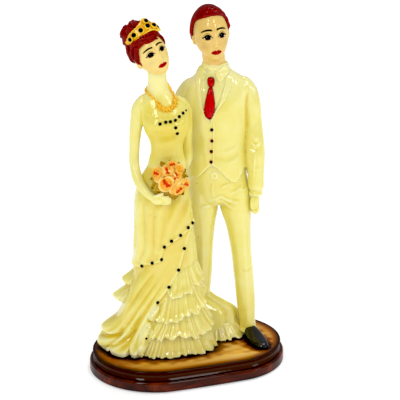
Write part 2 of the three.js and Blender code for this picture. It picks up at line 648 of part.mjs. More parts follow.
// Bride's gown: sections from the hem up to the waist.
const hemShare = (share) => SEAT_Z + share * SKIRT_LENGTH;
const hemHalf = HEM_WIDTH / 2;
const hipHalf = SKIRT_HIP_WIDTH / 2;
const SKIRT = new Sections([
  [SEAT_Z, BRIDE_X - 5.5, BRIDE_Y + 1, hemHalf, HEM_DEPTH / 2],
  [hemShare(0.036), BRIDE_X - 5.5, BRIDE_Y + 1, hemHalf, HEM_DEPTH / 2],
  [hemShare(0.1), BRIDE_X - 5, BRIDE_Y + 1, hemHalf - 2, HEM_DEPTH / 2 - 0.8],
  [hemShare(0.18), BRIDE_X - 2.8, BRIDE_Y + 0.7, hemHalf * 0.78, HEM_DEPTH / 2 - 1.4],
  [hemShare(0.27), BRIDE_X - 1.8, BRIDE_Y + 0.5, hemHalf * 0.68, HEM_DEPTH / 2 - 2],
  [hemShare(0.35), BRIDE_X - 0.8, BRIDE_Y + 0.3, hemHalf * 0.6, HEM_DEPTH / 2 - 2.8],
  [hemShare(0.46), BRIDE_X - 0.3, BRIDE_Y + 0.1, hipHalf + 1.4, HEM_DEPTH / 2 - 3.4],
  [hemShare(0.56), BRIDE_X - 0.8, BRIDE_Y - 0.1, hipHalf + 1.1, HEM_DEPTH / 2 - 3.8],
  [hemShare(0.66), BRIDE_X - 1.2, BRIDE_Y - 0.2, hipHalf + 0.2, HEM_DEPTH / 2 - 4.2],
  [hemShare(0.77), BRIDE_X - 1.8, BRIDE_Y - 0.3, hipHalf - 0.6, HEM_DEPTH / 2 - 4.7],
  [hemShare(0.85), BRIDE_X - 1.9, BRIDE_Y - 0.3, hipHalf - 1.6, HEM_DEPTH / 2 - 5.4],
  [hemShare(0.92), BRIDE_X - 1, BRIDE_Y - 0.2, hipHalf - 2.7, HEM_DEPTH / 2 - 6.2],
  [SEAT_Z + SKIRT_LENGTH, BRIDE_X + 0.5, BRIDE_Y, BRIDE_WAIST_WIDTH / 2 + 0.8, HEM_DEPTH / 2 - 7.2],
]);

const FOLD_COUNT = 13;
const FOLD_DEPTH = 1.6;
const FOLD_SWEEP = 1.3;

const FOLD_FROM = THREE.MathUtils.degToRad(182);
const FOLD_TO = THREE.MathUtils.degToRad(264);

// Folds sweep down over the open front left quarter, deepest at the hem and gone at the knee.
function skirtFold(turn, share) {
  const across = (turn - FOLD_FROM) / (FOLD_TO - FOLD_FROM);
  if (across <= 0 || across >= 1) {
    return 0;
  }
  const deep = FOLD_DEPTH * Math.max(0, 1 - 1.9 * share) * Math.min(1, 5 * across, 5 * (1 - across));
  return deep * Math.cos(FOLD_COUNT * (turn + FOLD_SWEEP * share));
}

const skirtForm = (grow) => bodyForm(SKIRT, 44, 11, grow, skirtFold);
const overskirtForm = (grow) => bodyForm(SKIRT, 26, 13, grow + FIT_GAP + OVERSKIRT_THICKNESS);

// The overskirt wraps the hips; its edge climbs from the bride's right knee to her left hip.
const WRAP_RISE = 0.85;
const WRAP_LOW = 0.6;

// What lies above the overskirt's edge, or above a line a little below it.
function aboveEdge(form, below) {
  const edge = new THREE.Vector3(-WRAP_RISE, 0, 1).normalize();
  const through = new THREE.Vector3(BRIDE_X, BRIDE_Y, hemShare(WRAP_LOW));
  return form.trimByPlane(edge.toArray(), edge.dot(through) - below);
}

function addSkirt() {
  const [left, right] = screwCutters();
  addTo(couple, "bride_skirt", cut(skirtForm(0), left, right), IVORY_RESIN);
  const shell = overskirtForm(0).subtract(bodyForm(SKIRT, 26, 13, FIT_GAP));
  const wrap = aboveEdge(shell, 0);
  addTo(couple, "bride_overskirt", wrap.trimByPlane([0, 0, -1], FIT_GAP - hemShare(1)), IVORY_RESIN);
}

const FLOUNCE_SEAT = FIT_GAP + 0.1;
const FLOUNCE_FLARE = 2.2;
const PLEAT_DEPTH = 0.8;

// One pleated flounce round the skirt between two turns, its foot standing out in pleats.
function flounceForm(top, from, to, slope) {
  const steps = 48;
  const rings = [];
  for (let step = 0; step <= steps; step += 1) {
    const share = step / steps;
    const turn = THREE.MathUtils.lerp(from, to, share);
    const pleat = Math.sin(FLOUNCE_PLEATS * turn);
    const side = Math.max(0, -Math.cos(turn));
    const head = top + slope * Math.cos(turn) + 3.2 * side;
    const waist = head - FLOUNCE_DROP * 0.45;
    const foot = head - FLOUNCE_DROP;
    const outer = FLOUNCE_SEAT + FLOUNCE_THICKNESS;
    const flare = FLOUNCE_FLARE * (1 + 0.6 * side);
    rings.push([
      SKIRT.point(head, turn, FLOUNCE_SEAT),
      SKIRT.point(head, turn, outer),
      SKIRT.point(waist, turn, outer + 1.1 + 0.3 * pleat),
      SKIRT.point(foot, turn, outer + flare + PLEAT_DEPTH * pleat),
      SKIRT.point(foot, turn, FLOUNCE_SEAT + 0.64 * flare + PLEAT_DEPTH * pleat),
      SKIRT.point(waist, turn, FLOUNCE_SEAT + 0.4 + 0.3 * pleat),
    ]);
  }
  return skin(rings);
}

const FLOUNCE_FROM = THREE.MathUtils.degToRad(-96);
const FLOUNCE_TO = THREE.MathUtils.degToRad(180);
const FLOUNCE_FOOT = 2.4;
const FLOUNCE_SLOPE = -1.2;
const FLOUNCE_STAGGER = THREE.MathUtils.degToRad(4);

function flounceAt(k) {
  const top = SEAT_Z + FLOUNCE_FOOT + (k + 1) * (FLOUNCE_DROP + FIT_GAP);
  return flounceForm(top, FLOUNCE_FROM + FLOUNCE_STAGGER * k, FLOUNCE_TO, FLOUNCE_SLOPE);
}

function addFlounces() {
  const around = [rightLegForm(FIT_GAP), aboveEdge(overskirtForm(FIT_GAP), FIT_GAP)];
  for (let k = 0; k < FLOUNCE_COUNT; k += 1) {
    const form = cut(flounceAt(k), ...around);
    addTo(couple, `bride_flounce_${k + 1}`, form.trimByPlane([0, 0, 1], SEAT_Z), IVORY_RESIN);
  }
}

// The train lies behind the groom's right leg and ends at his left heel.
const TRAIN = new Sections([
  [SEAT_Z, BRIDE_X + 17, BRIDE_Y + 17.6, 20, 10.4],
  [SEAT_Z + 7, BRIDE_X + 17, BRIDE_Y + 18, 19, 9],
  [SEAT_Z + 14, BRIDE_X + 16, BRIDE_Y + 18.4, 17.6, 7.6],
  [SEAT_Z + 20, BRIDE_X + 13, BRIDE_Y + 18.4, 13.8, 6.6],
  [SEAT_Z + 26, BRIDE_X + 10, BRIDE_Y + 18, 10, 5.4],
  [SEAT_Z + 31, BRIDE_X + 8, BRIDE_Y + 17.4, 6, 3.6],
]);
const TRAIN_FOLDS = 7;

function addTrain() {
  const fold = (turn, share) => 0.9 * (1 - share) * Math.cos(TRAIN_FOLDS * turn);
  const form = bodyForm(TRAIN, 30, 5, 0, fold);
  const reach = FLOUNCE_SEAT + FLOUNCE_THICKNESS + FLOUNCE_FLARE + PLEAT_DEPTH + 2 * FIT_GAP;
  const gown = bodyForm(SKIRT, 30, 14, reach);
  const around = [gown, rightLegForm(FIT_GAP), leftLegForm(FIT_GAP), shoeForm(FIT_GAP)];
  addTo(couple, "bride_train", cut(form, ...around), IVORY_RESIN);
}

// Bride's bodice with chest and neck in one casting, from the waist up.
const torso = (share) => BRIDE_WAIST_Z + FIT_GAP + share * BRIDE_TORSO_HEIGHT;
const waistHalf = BRIDE_WAIST_WIDTH / 2;
const bustHalf = BUST_WIDTH / 2;
const BODICE = new Sections([
  [torso(0), BRIDE_X + 0.5, BRIDE_Y, waistHalf + 1.3, 7.4],
  [torso(0.11), BRIDE_X + 0.6, BRIDE_Y, waistHalf, 6.6],
  [torso(0.23), BRIDE_X + 0.5, BRIDE_Y - 0.1, waistHalf + 0.4, 7],
  [torso(0.34), BRIDE_X + 0.4, BRIDE_Y - 0.6, bustHalf - 1, 8.2],
  [torso(0.44), BRIDE_X + 0.4, BRIDE_Y - 1, bustHalf, 8.9],
  [torso(0.55), BRIDE_X - 0.2, BRIDE_Y - 0.2, bustHalf + 0.4, 7.6],
  [torso(0.64), BRIDE_X - 1.6, BRIDE_Y + 0.5, bustHalf, 6.4],
  [torso(0.71), BRIDE_X - 2.6, BRIDE_Y + 0.7, bustHalf - 3, 5.4],
  [torso(0.77), BRIDE_X - 3.2, BRIDE_Y + 0.7, 6, 4.9],
  [torso(0.84), BRIDE_X - 3.5, BRIDE_Y + 0.6, 4.9, 4.6],
  [torso(1), BRIDE_X - 4, BRIDE_Y + 0.2, 4.5, 4.4],
]);
const bodiceForm = (grow) => bodyForm(BODICE, 20, 18, grow);

const upperArm = BRIDE_ARM_WIDTH / 2;
const BRIDE_RIGHT_ARM = [
  [BRIDE_X - 9, BRIDE_Y + 0.6, torso(0.68), upperArm - 0.7],
  [BRIDE_X - 12, BRIDE_Y + 0.5, torso(0.61), upperArm + 0.8],
  [BRIDE_X - 13.8, BRIDE_Y + 0.2, torso(0.42), upperArm + 0.6],
  [BRIDE_X - 14.9, BRIDE_Y - 0.6, torso(0.16), upperArm],
  [BRIDE_X - 14.9, BRIDE_Y - 2, torso(-0.04), upperArm - 0.1],
  [BRIDE_X - 12.8, BRIDE_Y - 6, torso(-0.19), upperArm],
  [BRIDE_X - 8.6, BRIDE_Y - 10, torso(-0.3), upperArm - 0.3],
  [BRIDE_X - 5.4, BRIDE_Y - 11.6, torso(-0.35), upperArm - 0.7],
];
const BRIDE_LEFT_ARM = [
  [BRIDE_X + 6.6, BRIDE_Y + 0.9, torso(0.66), upperArm - 0.7],
  [BRIDE_X + 8.9, BRIDE_Y + 1.6, torso(0.58), upperArm + 0.6],
  [BRIDE_X + 9.9, BRIDE_Y + 3.8, torso(0.42), upperArm + 0.3],
  [BRIDE_X + 9.9, BRIDE_Y + 5.4, torso(0.18), upperArm],
  [BRIDE_X + 9.9, BRIDE_Y + 6.2, torso(-0.02), upperArm],
  [BRIDE_X + 8.4, BRIDE_Y + 8.6, torso(-0.12), upperArm - 0.3],
  [BRIDE_X + 6, BRIDE_Y + 10.2, torso(-0.19), upperArm - 0.6],
];

function brideHandForm(grow) {
  const [x, y, z] = BRIDE_RIGHT_ARM.at(-1);
  return ellipsoid(x + 3.2, y - 0.8, z - 1.4, 8, 4.2, 4.6, grow);
}

function addBrideBody() {
  addTo(couple, "bride_bodice", bodiceForm(0), IVORY_RESIN);
  const body = [bodiceForm(FIT_GAP), overskirtForm(FIT_GAP)];
  const groom = [jacketForm(FIT_GAP), hipsForm(FIT_GAP), limbForm(RIGHT_SLEEVE, 12, 10, FIT_GAP)];
  addTo(couple, "bride_right_arm", cut(limbForm(BRIDE_RIGHT_ARM, 10, 14), ...body), IVORY_RESIN);
  addTo(couple, "bride_left_arm", cut(limbForm(BRIDE_LEFT_ARM, 10, 10), ...body, ...groom), IVORY_RESIN);
  const forearm = limbForm(BRIDE_RIGHT_ARM, 10, 14, FIT_GAP);
  addTo(couple, "bride_right_hand", cut(brideHandForm(0), forearm, ...body), IVORY_RESIN);
}

// The necklace hangs round the foot of the neck, low at the front, and lies on the chest.
function addNecklace() {
  const loop = [];
  for (let k = 0; k < 12; k += 1) {
    const turn = (2 * Math.PI * k) / 12;
    const drop = Math.sin(turn);
    const x = BRIDE_X - 2.4 + NECKLACE_SPAN * Math.cos(turn);
    const y = BRIDE_Y - 0.4 + NECKLACE_REACH * drop;
    loop.push(new THREE.Vector3(x, y, torso(0.755) + NECKLACE_DROP * drop));
  }
  const path = new THREE.CatmullRomCurve3(loop, true);
  const ring = solidFrom(new THREE.TubeGeometry(path, 30, NECKLACE_RADIUS, 8, true));
  addTo(couple, "necklace", cut(ring, bodiceForm(FIT_GAP)), GOLD_PAINT);
}

const BRIDE_HEAD_PLACE = headPlace(BRIDE_X - 6.8, BRIDE_Y - 0.8, BRIDE_NECK_Z + 8.4, -27, 26, -4);

// Her hair is piled up: the cap is taller than the head inside it.
function brideHairForm(grow) {
  const width = BRIDE_HEAD_WIDTH + 2 * (FIT_GAP + BRIDE_HAIR);
  const height = BRIDE_HEAD_HEIGHT + 2 * (FIT_GAP + BRIDE_HAIR) + HAIR_LIFT;
  return headForm(width, height, grow).translate([0, 0, HAIR_LIFT / 2]);
}

function bunForm(grow) {
  const size = 2 * BUN_RADIUS;
  return ellipsoid(-1, 4.6, BRIDE_HEAD_HEIGHT * 0.51, size, size * 0.92, size * 0.97, grow);
}

const TIARA = [
  [-0.53, 0.74], [-0.16, 0.84], [0.18, 0.83], [0.45, 0.68],
  [0.5, 0.9], [0.4, 1.12], [0.26, 1.4], [0.02, 1.24], [-0.53, 1],
];

function addBrideHead() {
  const head = (grow) => headForm(BRIDE_HEAD_WIDTH, BRIDE_HEAD_HEIGHT, grow);
  const placed = (solid) => solid.transform(BRIDE_HEAD_PLACE);
  addTo(couple, "bride_head", cut(placed(head(0)), bodiceForm(FIT_GAP)), SKIN_RESIN);
  const line = new THREE.Vector3(-0.25, 0.8, 1).normalize();
  const cap = brideHairForm(0).subtract(head(FIT_GAP)).trimByPlane(line.toArray(), 0.02 * BRIDE_HEAD_HEIGHT);
  addTo(couple, "bride_hair", cut(placed(cap), bodiceForm(FIT_GAP)), HAIR_PAINT);
  addTo(couple, "bride_bun", placed(cut(bunForm(0), brideHairForm(FIT_GAP))), HAIR_PAINT);
  const shell = brideHairForm(FIT_GAP + TIARA_THICKNESS).subtract(brideHairForm(FIT_GAP));
  const outline = TIARA.map(([x, z]) => [x * BRIDE_HEAD_WIDTH, (z * BRIDE_HEAD_HEIGHT) / 2]);
  const crown = shell.intersect(frontPrism(outline, 2, 2 * BRIDE_HEAD_HEIGHT));
  addTo(couple, "tiara", placed(cut(crown, bunForm(FIT_GAP))), GOLD_PAINT);
}

// Bouquet: a dish of leaves on the skirt front with roses set over it.
const BOUQUET = new THREE.Vector3(BRIDE_X + 2, BRIDE_Y - 11, BRIDE_WAIST_Z - 5.2);
const BOUQUET_AIM = new THREE.Vector3(0.05, -1, 0.12).normalize();
const BOUQUET_DOME = 4.6;
// Each rose seen from the front: sideways and upwards in bouquet radii, then its size in rose radii.
const ROSES = [
  [-0.14, -0.16, 1.08],
  [0.26, 0.17, 0.78],
  [0.44, -0.46, 0.82],
  [-0.64, 0.26, 0.78],
  [-0.13, 0.4, 0.84],
  [0.42, 0.5, 0.68],
  [0.1, 0.71, 0.66],
  [0.79, -0.21, 0.66],
];

function bouquetFrame() {
  return new THREE.Quaternion().setFromUnitVectors(new THREE.Vector3(0, 0, 1), BOUQUET_AIM);
}

function leavesForm(grow) {
  const rings = [];
  const rows = [[-1.6, 0.35], [-0.6, 0.86], [0.4, 1.06], [0.6, 0.8], [0.6, 0.3]];
  const frame = bouquetFrame();
  for (const [rise, reach] of rows) {
    const ring = [];
    for (let side = 0; side < 32; side += 1) {
      const turn = (2 * Math.PI * side) / 32;
      const lobe = reach > 0.5 ? 0.7 * Math.cos(8 * turn) : 0;
      const radius = BOUQUET_RADIUS * reach + lobe + grow;
      const spot = new THREE.Vector3(radius * Math.cos(turn), radius * Math.sin(turn), rise);
      spot.z += grow * Math.sign(rise);
      ring.push(spot.applyQuaternion(frame).add(BOUQUET));
    }
    rings.push(ring);
  }
  return skin(rings);
}

function roseForm([side, rise, share], grow) {
  const tilt = Math.hypot(side, rise);
  const size = ROSE_RADIUS * share;
  const ball = new THREE.SphereGeometry(1, 8, 6);
  ball.rotateX(Math.PI / 2);
  ball.scale(size + grow, size + grow, 0.85 * size + grow);
  const aim = new THREE.Vector3(side * Math.sin(tilt), rise * Math.sin(tilt), tilt * Math.cos(tilt)).normalize();
  ball.applyQuaternion(new THREE.Quaternion().setFromUnitVectors(new THREE.Vector3(0, 0, 1), aim));
  ball.translate(side * BOUQUET_RADIUS, rise * BOUQUET_RADIUS, BOUQUET_DOME * Math.cos(tilt));
  ball.applyQuaternion(bouquetFrame());
  ball.translate(BOUQUET.x, BOUQUET.y, BOUQUET.z);
  return solidFrom(ball);
}

function addBouquet() {
  const holders = [
    overskirtForm(FIT_GAP),
    limbForm(BRIDE_RIGHT_ARM, 10, 14, FIT_GAP),
    brideHandForm(FIT_GAP),
  ];
  addTo(couple, "bouquet_leaves", cut(leavesForm(0), ...holders), LEAF_PAINT);
  const taken = [...holders, leavesForm(FIT_GAP)];
  for (const [k, rose] of ROSES.entries()) {
    addTo(couple, `bouquet_rose_${k + 1}`, cut(roseForm(rose, 0), ...taken), ROSE_PAINT);
    taken.push(roseForm(rose, FIT_GAP));
  }
}

addBase();
addTrousers();
addShoe();
addSkirt();
addFlounces();
addTrain();
addBrideBody();
addNecklace();
addBrideHead();
addBouquet();
addJacket();
addShirtAndTie();
addLapels();
addJacketButtons();
addSleeves();
addGroomHead();

export default part;
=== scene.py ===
"""Looks of a wedding cake topper: a bride and groom cast in ivory resin on a stained oval base.

Sizes are millimetres in the couple's own frame, which is turned on the base: x to the couple's side, y away
from the front, z up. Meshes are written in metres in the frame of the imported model.
"""

from __future__ import annotations

import logging
import math
from contextlib import contextmanager
from dataclasses import dataclass, replace
from enum import Enum
from typing import Iterator, Sequence

import bpy
import numpy as np
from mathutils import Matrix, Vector
from mathutils.bvhtree import BVHTree
from mathutils.geometry import delaunay_2d_cdt


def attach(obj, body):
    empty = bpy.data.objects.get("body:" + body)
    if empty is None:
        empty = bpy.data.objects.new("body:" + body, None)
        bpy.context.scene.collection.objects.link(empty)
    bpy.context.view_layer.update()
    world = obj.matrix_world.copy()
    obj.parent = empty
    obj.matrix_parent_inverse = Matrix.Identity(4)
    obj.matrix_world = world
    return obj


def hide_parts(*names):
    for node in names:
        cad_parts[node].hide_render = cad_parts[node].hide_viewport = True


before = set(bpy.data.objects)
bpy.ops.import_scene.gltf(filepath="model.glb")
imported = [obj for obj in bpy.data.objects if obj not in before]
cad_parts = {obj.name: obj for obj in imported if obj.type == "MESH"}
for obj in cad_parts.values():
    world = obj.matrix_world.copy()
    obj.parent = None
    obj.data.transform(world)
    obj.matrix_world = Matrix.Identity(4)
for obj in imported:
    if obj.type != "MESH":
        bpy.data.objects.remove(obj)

LOG = logging.getLogger("cake_topper")
Array = np.ndarray
Points = Sequence[Sequence[float]]
Object = bpy.types.Object
Material = bpy.types.Material

MM = 0.001
BODY = "root"
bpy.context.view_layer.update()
COUPLE_TURN = math.radians(-20.0)
FULL = 2.0 * math.pi

# Where the figures stand
BRIDE_X = -10.0
BRIDE_Y = -5.5
GROOM_X = 14.5
GROOM_Y = 12.0

# Heights shared by the figures
DECK_Z = 10.3
SEAT_Z = 10.5
CROTCH_Z = 79.8
WAIST_Z = 100.8
COLLAR_Z = 147.8
BRIDE_WAIST_Z = 106.0

# Seating of laid pieces: where a sight line starts, its reach in metres, how deep a back lies
SIGHT_START = 80.0
SIGHT_REACH = 0.25
LAID_SINK = 0.35

# Beads: the share of the radius that lies in the surface, and the tone between crest and crease
BEAD_SINK = 0.3
BEAD_TONE = 0.45

# Lacquer: the share of its shine that brushed-on paint takes away, and its roughness
PAINT_DULLS = 0.85
LACQUER_ROUGH = 0.05

# Sockets of a node that mixes two colours
MIX_A = 6
MIX_B = 7
MIXED = 2

# Subdivisions of the ball that a head or its hair starts from
HEAD_DETAIL = 7


class Slot(Enum):
    """Material slots of the record."""

    IVORY = "ivory_resin"
    SKIN = "skin_resin"
    HAIR = "hair_paint"
    GOLD = "gold_paint"
    ROSE = "rose_paint"
    LEAF = "leaf_paint"
    TIE = "tie_paint"
    BUTTON = "button_paint"
    SHOE = "shoe_paint"
    DECK = "deck_resin"
    TIER = "tier_resin"


# Numbers


def about_z(angle: float) -> Array:
    """Returns the rotation about z by an angle, radians."""
    return np.array([
        [math.cos(angle), -math.sin(angle), 0.0],
        [math.sin(angle), math.cos(angle), 0.0],
        [0.0, 0.0, 1.0],
    ])


COUPLE = about_z(COUPLE_TURN)


def turned_to(way: Sequence[float]) -> Array:
    """Returns the rotation that takes +z to a direction."""
    return np.array(Vector((0, 0, 1)).rotation_difference(Vector(way)).to_matrix())


def to_world(points: Array) -> Array:
    """Turns couple-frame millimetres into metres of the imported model."""
    return points @ COUPLE.T * MM


def to_couple(points: Array) -> Array:
    """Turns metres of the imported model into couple-frame millimetres."""
    return points @ COUPLE / MM


def between(stations: Points, places: Array) -> Array:
    """Reads smooth values between stations.

    Args:
        stations: Rows whose first number is a rising place and whose other numbers are values.
        places: Where to read.

    Returns:
        The values, on one more axis than places.
    """
    table = np.asarray(stations, float)
    knots, values = table[:, 0], table[:, 1:]
    slopes = np.gradient(values, knots, axis=0)
    places = np.clip(np.asarray(places, float), knots[0], knots[-1])
    k = np.clip(np.searchsorted(knots, places, side="right") - 1, 0, len(knots) - 2)
    span = (knots[k + 1] - knots[k])[..., None]
    t = (places - knots[k])[..., None] / span
    ease = t * t * (3 - 2 * t)
    bend = t * (1 - t) * ((1 - t) * slopes[k] - t * slopes[k + 1]) * span
    return values[k] * (1 - ease) + values[k + 1] * ease + bend


def step(value: Array, low: float, high: float) -> Array:
    """Rises smoothly from 0 at low to 1 at high."""
    t = np.clip((value - low) / (high - low), 0.0, 1.0)
    return t * t * (3 - 2 * t)


def hump(value: Array, middle: float, half: float) -> Array:
    """A bell of height 1 round a middle."""
    return np.exp(-(((value - middle) / half) ** 2))


def unit(vectors: Array) -> Array:
    """Scales rows of vectors to length 1."""
    return vectors / np.linalg.norm(vectors, axis=1, keepdims=True)


def run_of(points: Array) -> Array:
    """Returns the running length of a path at each of its points."""
    return np.concatenate([[0], np.cumsum(np.linalg.norm(np.diff(points, axis=0), axis=1))])


def with_shares(path: Points) -> Array:
    """Returns a path with its running share in front of each point."""
    points = np.asarray(path, float)
    run = run_of(points)
    return np.column_stack([run / run[-1], points])


def near_path(path: Points, spots: Array) -> tuple[Array, Array]:
    """Measures spots against a path.

    Args:
        path: Points of the path, in as many numbers as the spots have.
        spots: Places to measure.

    Returns:
        The distance of each spot from the path, and the share of the path where it is nearest.
    """
    line = np.asarray(path, float)
    lengths = np.linalg.norm(np.diff(line, axis=0), axis=1)
    total = lengths.sum()
    best = np.full(len(spots), np.inf)
    share = np.zeros(len(spots))
    run = 0.0
    for start, end, length in zip(line[:-1], line[1:], lengths):
        along = np.clip(((spots - start) @ (end - start)) / length**2, 0.0, 1.0)
        gap = np.linalg.norm(spots - start - along[:, None] * (end - start), axis=1)
        closer = gap < best
        best[closer] = gap[closer]
        share[closer] = ((run + along * length) / total)[closer]
        run += length
    return best, share


@dataclass(frozen=True)
class Fold:
    """A ridge, or a crease where rise is below zero, drawn over a surface as seen from the front.

    Attributes:
        path: Points (x, z).
        rise: Height at the crest.
        half: Half width.
        ends: Shares of the height kept at the start and at the end.
    """

    path: Points
    rise: float
    half: float
    ends: tuple[float, float] = (0.0, 0.0)

    def height(self, spots: Array) -> Array:
        """Measures the fold.

        Args:
            spots: Places (x, z).

        Returns:
            The height at each spot.
        """
        gap, share = near_path(between(with_shares(self.path), np.linspace(0, 1, 24)), spots)
        start, end = self.ends
        body = np.minimum(np.sin(math.pi * np.clip(share, 0, 1)) ** 0.5, step(share, 0, 0.42))
        lift = np.maximum(body, np.where(share < 0.5, start, end))
        return self.rise * lift * np.exp(-((gap / self.half) ** 2))


def relief(folds: Sequence[Fold], spots: Array) -> Array:
    """Adds up folds: ridges run into one another in soft valleys, creases cut in.

    Args:
        folds: Ridges and creases.
        spots: Places (x, z).

    Returns:
        The height at each spot.
    """
    total = np.zeros(len(spots))
    for ridge in (True, False):
        heights = [fold.height(spots) for fold in folds if (fold.rise > 0) == ridge]
        if heights:
            total += np.linalg.norm(heights, 8, axis=0) if ridge else np.min(heights, axis=0)
    return total


# Meshes


def activate(obj: Object) -> None:
    """Selects one object alone and makes it active."""
    bpy.ops.object.select_all(action="DESELECT")
    obj.select_set(True)
    bpy.context.view_layer.objects.active = obj


@contextmanager
def editing(obj: Object) -> Iterator[None]:
    """Opens an object in edit mode with all of it selected.

    Args:
        obj: The object.

    Yields:
        Nothing; edit mode is closed again afterwards.
    """
    activate(obj)
    bpy.ops.object.mode_set(mode="EDIT")
    bpy.ops.mesh.select_all(action="SELECT")
    yield
    bpy.ops.object.mode_set(mode="OBJECT")


def weld(obj: Object) -> Object:
    """Merges points that lie together and turns the faces outwards.

    Args:
        obj: The piece.

    Returns:
        The same piece.
    """
    with editing(obj):
        bpy.ops.mesh.remove_doubles(threshold=0.002 * MM)
        bpy.ops.mesh.normals_make_consistent(inside=False)
    return obj


def named(obj: Object, name: str) -> Object:
    """Names an object and its mesh."""
    obj.name = name
    obj.data.name = name
    return obj


def grid(name: str, points: Array) -> Object:
    """Pulls a primitive grid into shape and closes its seams and poles.

    Args:
        name: Name of the piece.
        points: Couple-frame points, rows by columns; columns that close a ring repeat the first one.

    Returns:
        The piece.
    """
    rows, columns = points.shape[:2]
    bpy.ops.object.select_all(action="DESELECT")
    bpy.ops.mesh.primitive_grid_add(x_subdivisions=columns - 1, y_subdivisions=rows - 1, size=MM)
    obj = named(bpy.context.object, name)
    obj.data.vertices.foreach_set("co", to_world(points.reshape(-1, 3)).ravel())
    return weld(obj)


def capped(rings: Array) -> Array:
    """Closes a stack of rings with a point at each end."""
    ends = [np.repeat(ring.mean(axis=0)[None], len(ring), axis=0) for ring in (rings[0], rings[-1])]
    return np.concatenate([ends[0][None], rings, ends[1][None]])


def apply_modifier(obj: Object, kind: str, **settings: float | str | bool) -> Object:
    """Adds a modifier with its settings and applies it.

    Args:
        obj: The piece.
        kind: Blender's name of the modifier.
        **settings: Its settings.

    Returns:
        The same piece.
    """
    modifier = obj.modifiers.new(kind.title(), kind)
    for key, value in settings.items():
        setattr(modifier, key, value)
    activate(obj)
    bpy.ops.object.modifier_apply(modifier=modifier.name)
    return obj


def join(name: str, parts: Sequence[Object]) -> Object:
    """Joins objects into one.

    Args:
        name: Name of the joined object.
        parts: The objects; the first takes in the others.

    Returns:
        The joined object.
    """
    activate(parts[0])
    for part in parts[1:]:
        part.select_set(True)
    if len(parts) > 1:
        bpy.ops.object.join()
    return named(parts[0], name)


def fuse(name: str, parts: Sequence[Object], voxel: float, rounds: int) -> Object:
    """Joins forms into one casting with soft joins.

    Args:
        name: Name of the casting.
        parts: Closed forms that overlap.
        voxel: Facet size, millimetres.
        rounds: Smoothing rounds.

    Returns:
        The casting.
    """
    obj = join(name, parts)
    apply_modifier(obj, "REMESH", mode="VOXEL", voxel_size=voxel * MM)
    return apply_modifier(obj, "SMOOTH", factor=0.5, iterations=rounds)


def points_of(obj: Object) -> Array:
    """Returns a mesh's points in the couple's frame."""
    flat = np.empty(len(obj.data.vertices) * 3)
    obj.data.vertices.foreach_get("co", flat)
    return to_couple(flat.reshape(-1, 3))


def normals_of(obj: Object) -> Array:
    """Returns a mesh's point normals in the couple's frame."""
    flat = np.empty(len(obj.data.vertices) * 3)
    obj.data.vertex_normals.foreach_get("vector", flat)
    return flat.reshape(-1, 3) @ COUPLE


def set_points(obj: Object, points: Array) -> None:
    """Writes a mesh's points from the couple's frame."""
    obj.data.vertices.foreach_set("co", to_world(points).ravel())
    obj.data.update()


def sculpt(obj: Object, folds: Sequence[Fold], facing: float = 0.25) -> None:
    """Raises folds on the front of a piece.

    Args:
        obj: The piece.
        folds: What to draw.
        facing: How far towards the back a surface may look and still be drawn on.
    """
    points, normals = points_of(obj), normals_of(obj)
    front = step(-normals[:, 1], -facing - 0.2, -facing + 0.2)
    lift = relief(folds, points[:, [0, 2]]) * front
    set_points(obj, points + normals * lift[:, None])


def record_value(obj: Object, name: str, values: Array) -> None:
    """Writes one number for each point of a mesh as an attribute."""
    layer = obj.data.attributes.get(name) or obj.data.attributes.new(name, "FLOAT", "POINT")
    layer.data.foreach_set("value", np.asarray(values, np.float32))


def record_paint(obj: Object, colours: Array) -> None:
    """Writes brushed-on paint, red, green, blue and cover, for each point of a mesh."""
    layer = obj.data.attributes.new("paint", "FLOAT_COLOR", "POINT")
    layer.data.foreach_set("color", np.asarray(colours, np.float32).ravel())


def record_creases(obj: Object, reach: int, depth: float, tone_and_light: Array | float = 0.0) -> None:
    """Writes how hollow a mesh is, for painted light and shade: 0 on a crest, 0.5 on the flat, 1 in a crease.

    Args:
        obj: The piece.
        reach: How many points away the surface is compared.
        depth: Hollow, in millimetres, that counts as a full crease.
        tone_and_light: Added to it; deepens the colour, and below zero pales it, partly as painted light.
    """
    points, normals = points_of(obj), normals_of(obj)
    edges = np.empty(len(obj.data.edges) * 2, int)
    obj.data.edges.foreach_get("vertices", edges)
    one, two = edges[0::2], edges[1::2]
    ends, others = np.concatenate([one, two]), np.concatenate([two, one])
    count = len(points)
    ways = np.maximum(np.bincount(ends, minlength=count), 1)[:, None]
    soft = points
    for _ in range(reach):
        total = np.stack([np.bincount(ends, soft[others, k], count) for k in range(3)], axis=1)
        soft = 0.5 * (soft + total / ways)
    hollow = np.einsum("ij,ij->i", soft - points, normals)
    record_value(obj, "crease", np.clip(0.5 + tone_and_light + hollow / (2 * depth), 0, 1))


def shade(obj: Object, angle: float = 50.0) -> Object:
    """Shades a piece smoothly but for edges sharper than an angle, degrees."""
    activate(obj)
    bpy.ops.object.shade_smooth_by_angle(angle=math.radians(angle))
    return obj


def polish(obj: Object, reach: int, depth: float, tone_and_light: Array | float = 0.0, angle: float = 60.0) -> Object:
    """Records a piece's creases and shades it; the arguments are those of record_creases and shade."""
    record_creases(obj, reach, depth, tone_and_light)
    return shade(obj, angle)


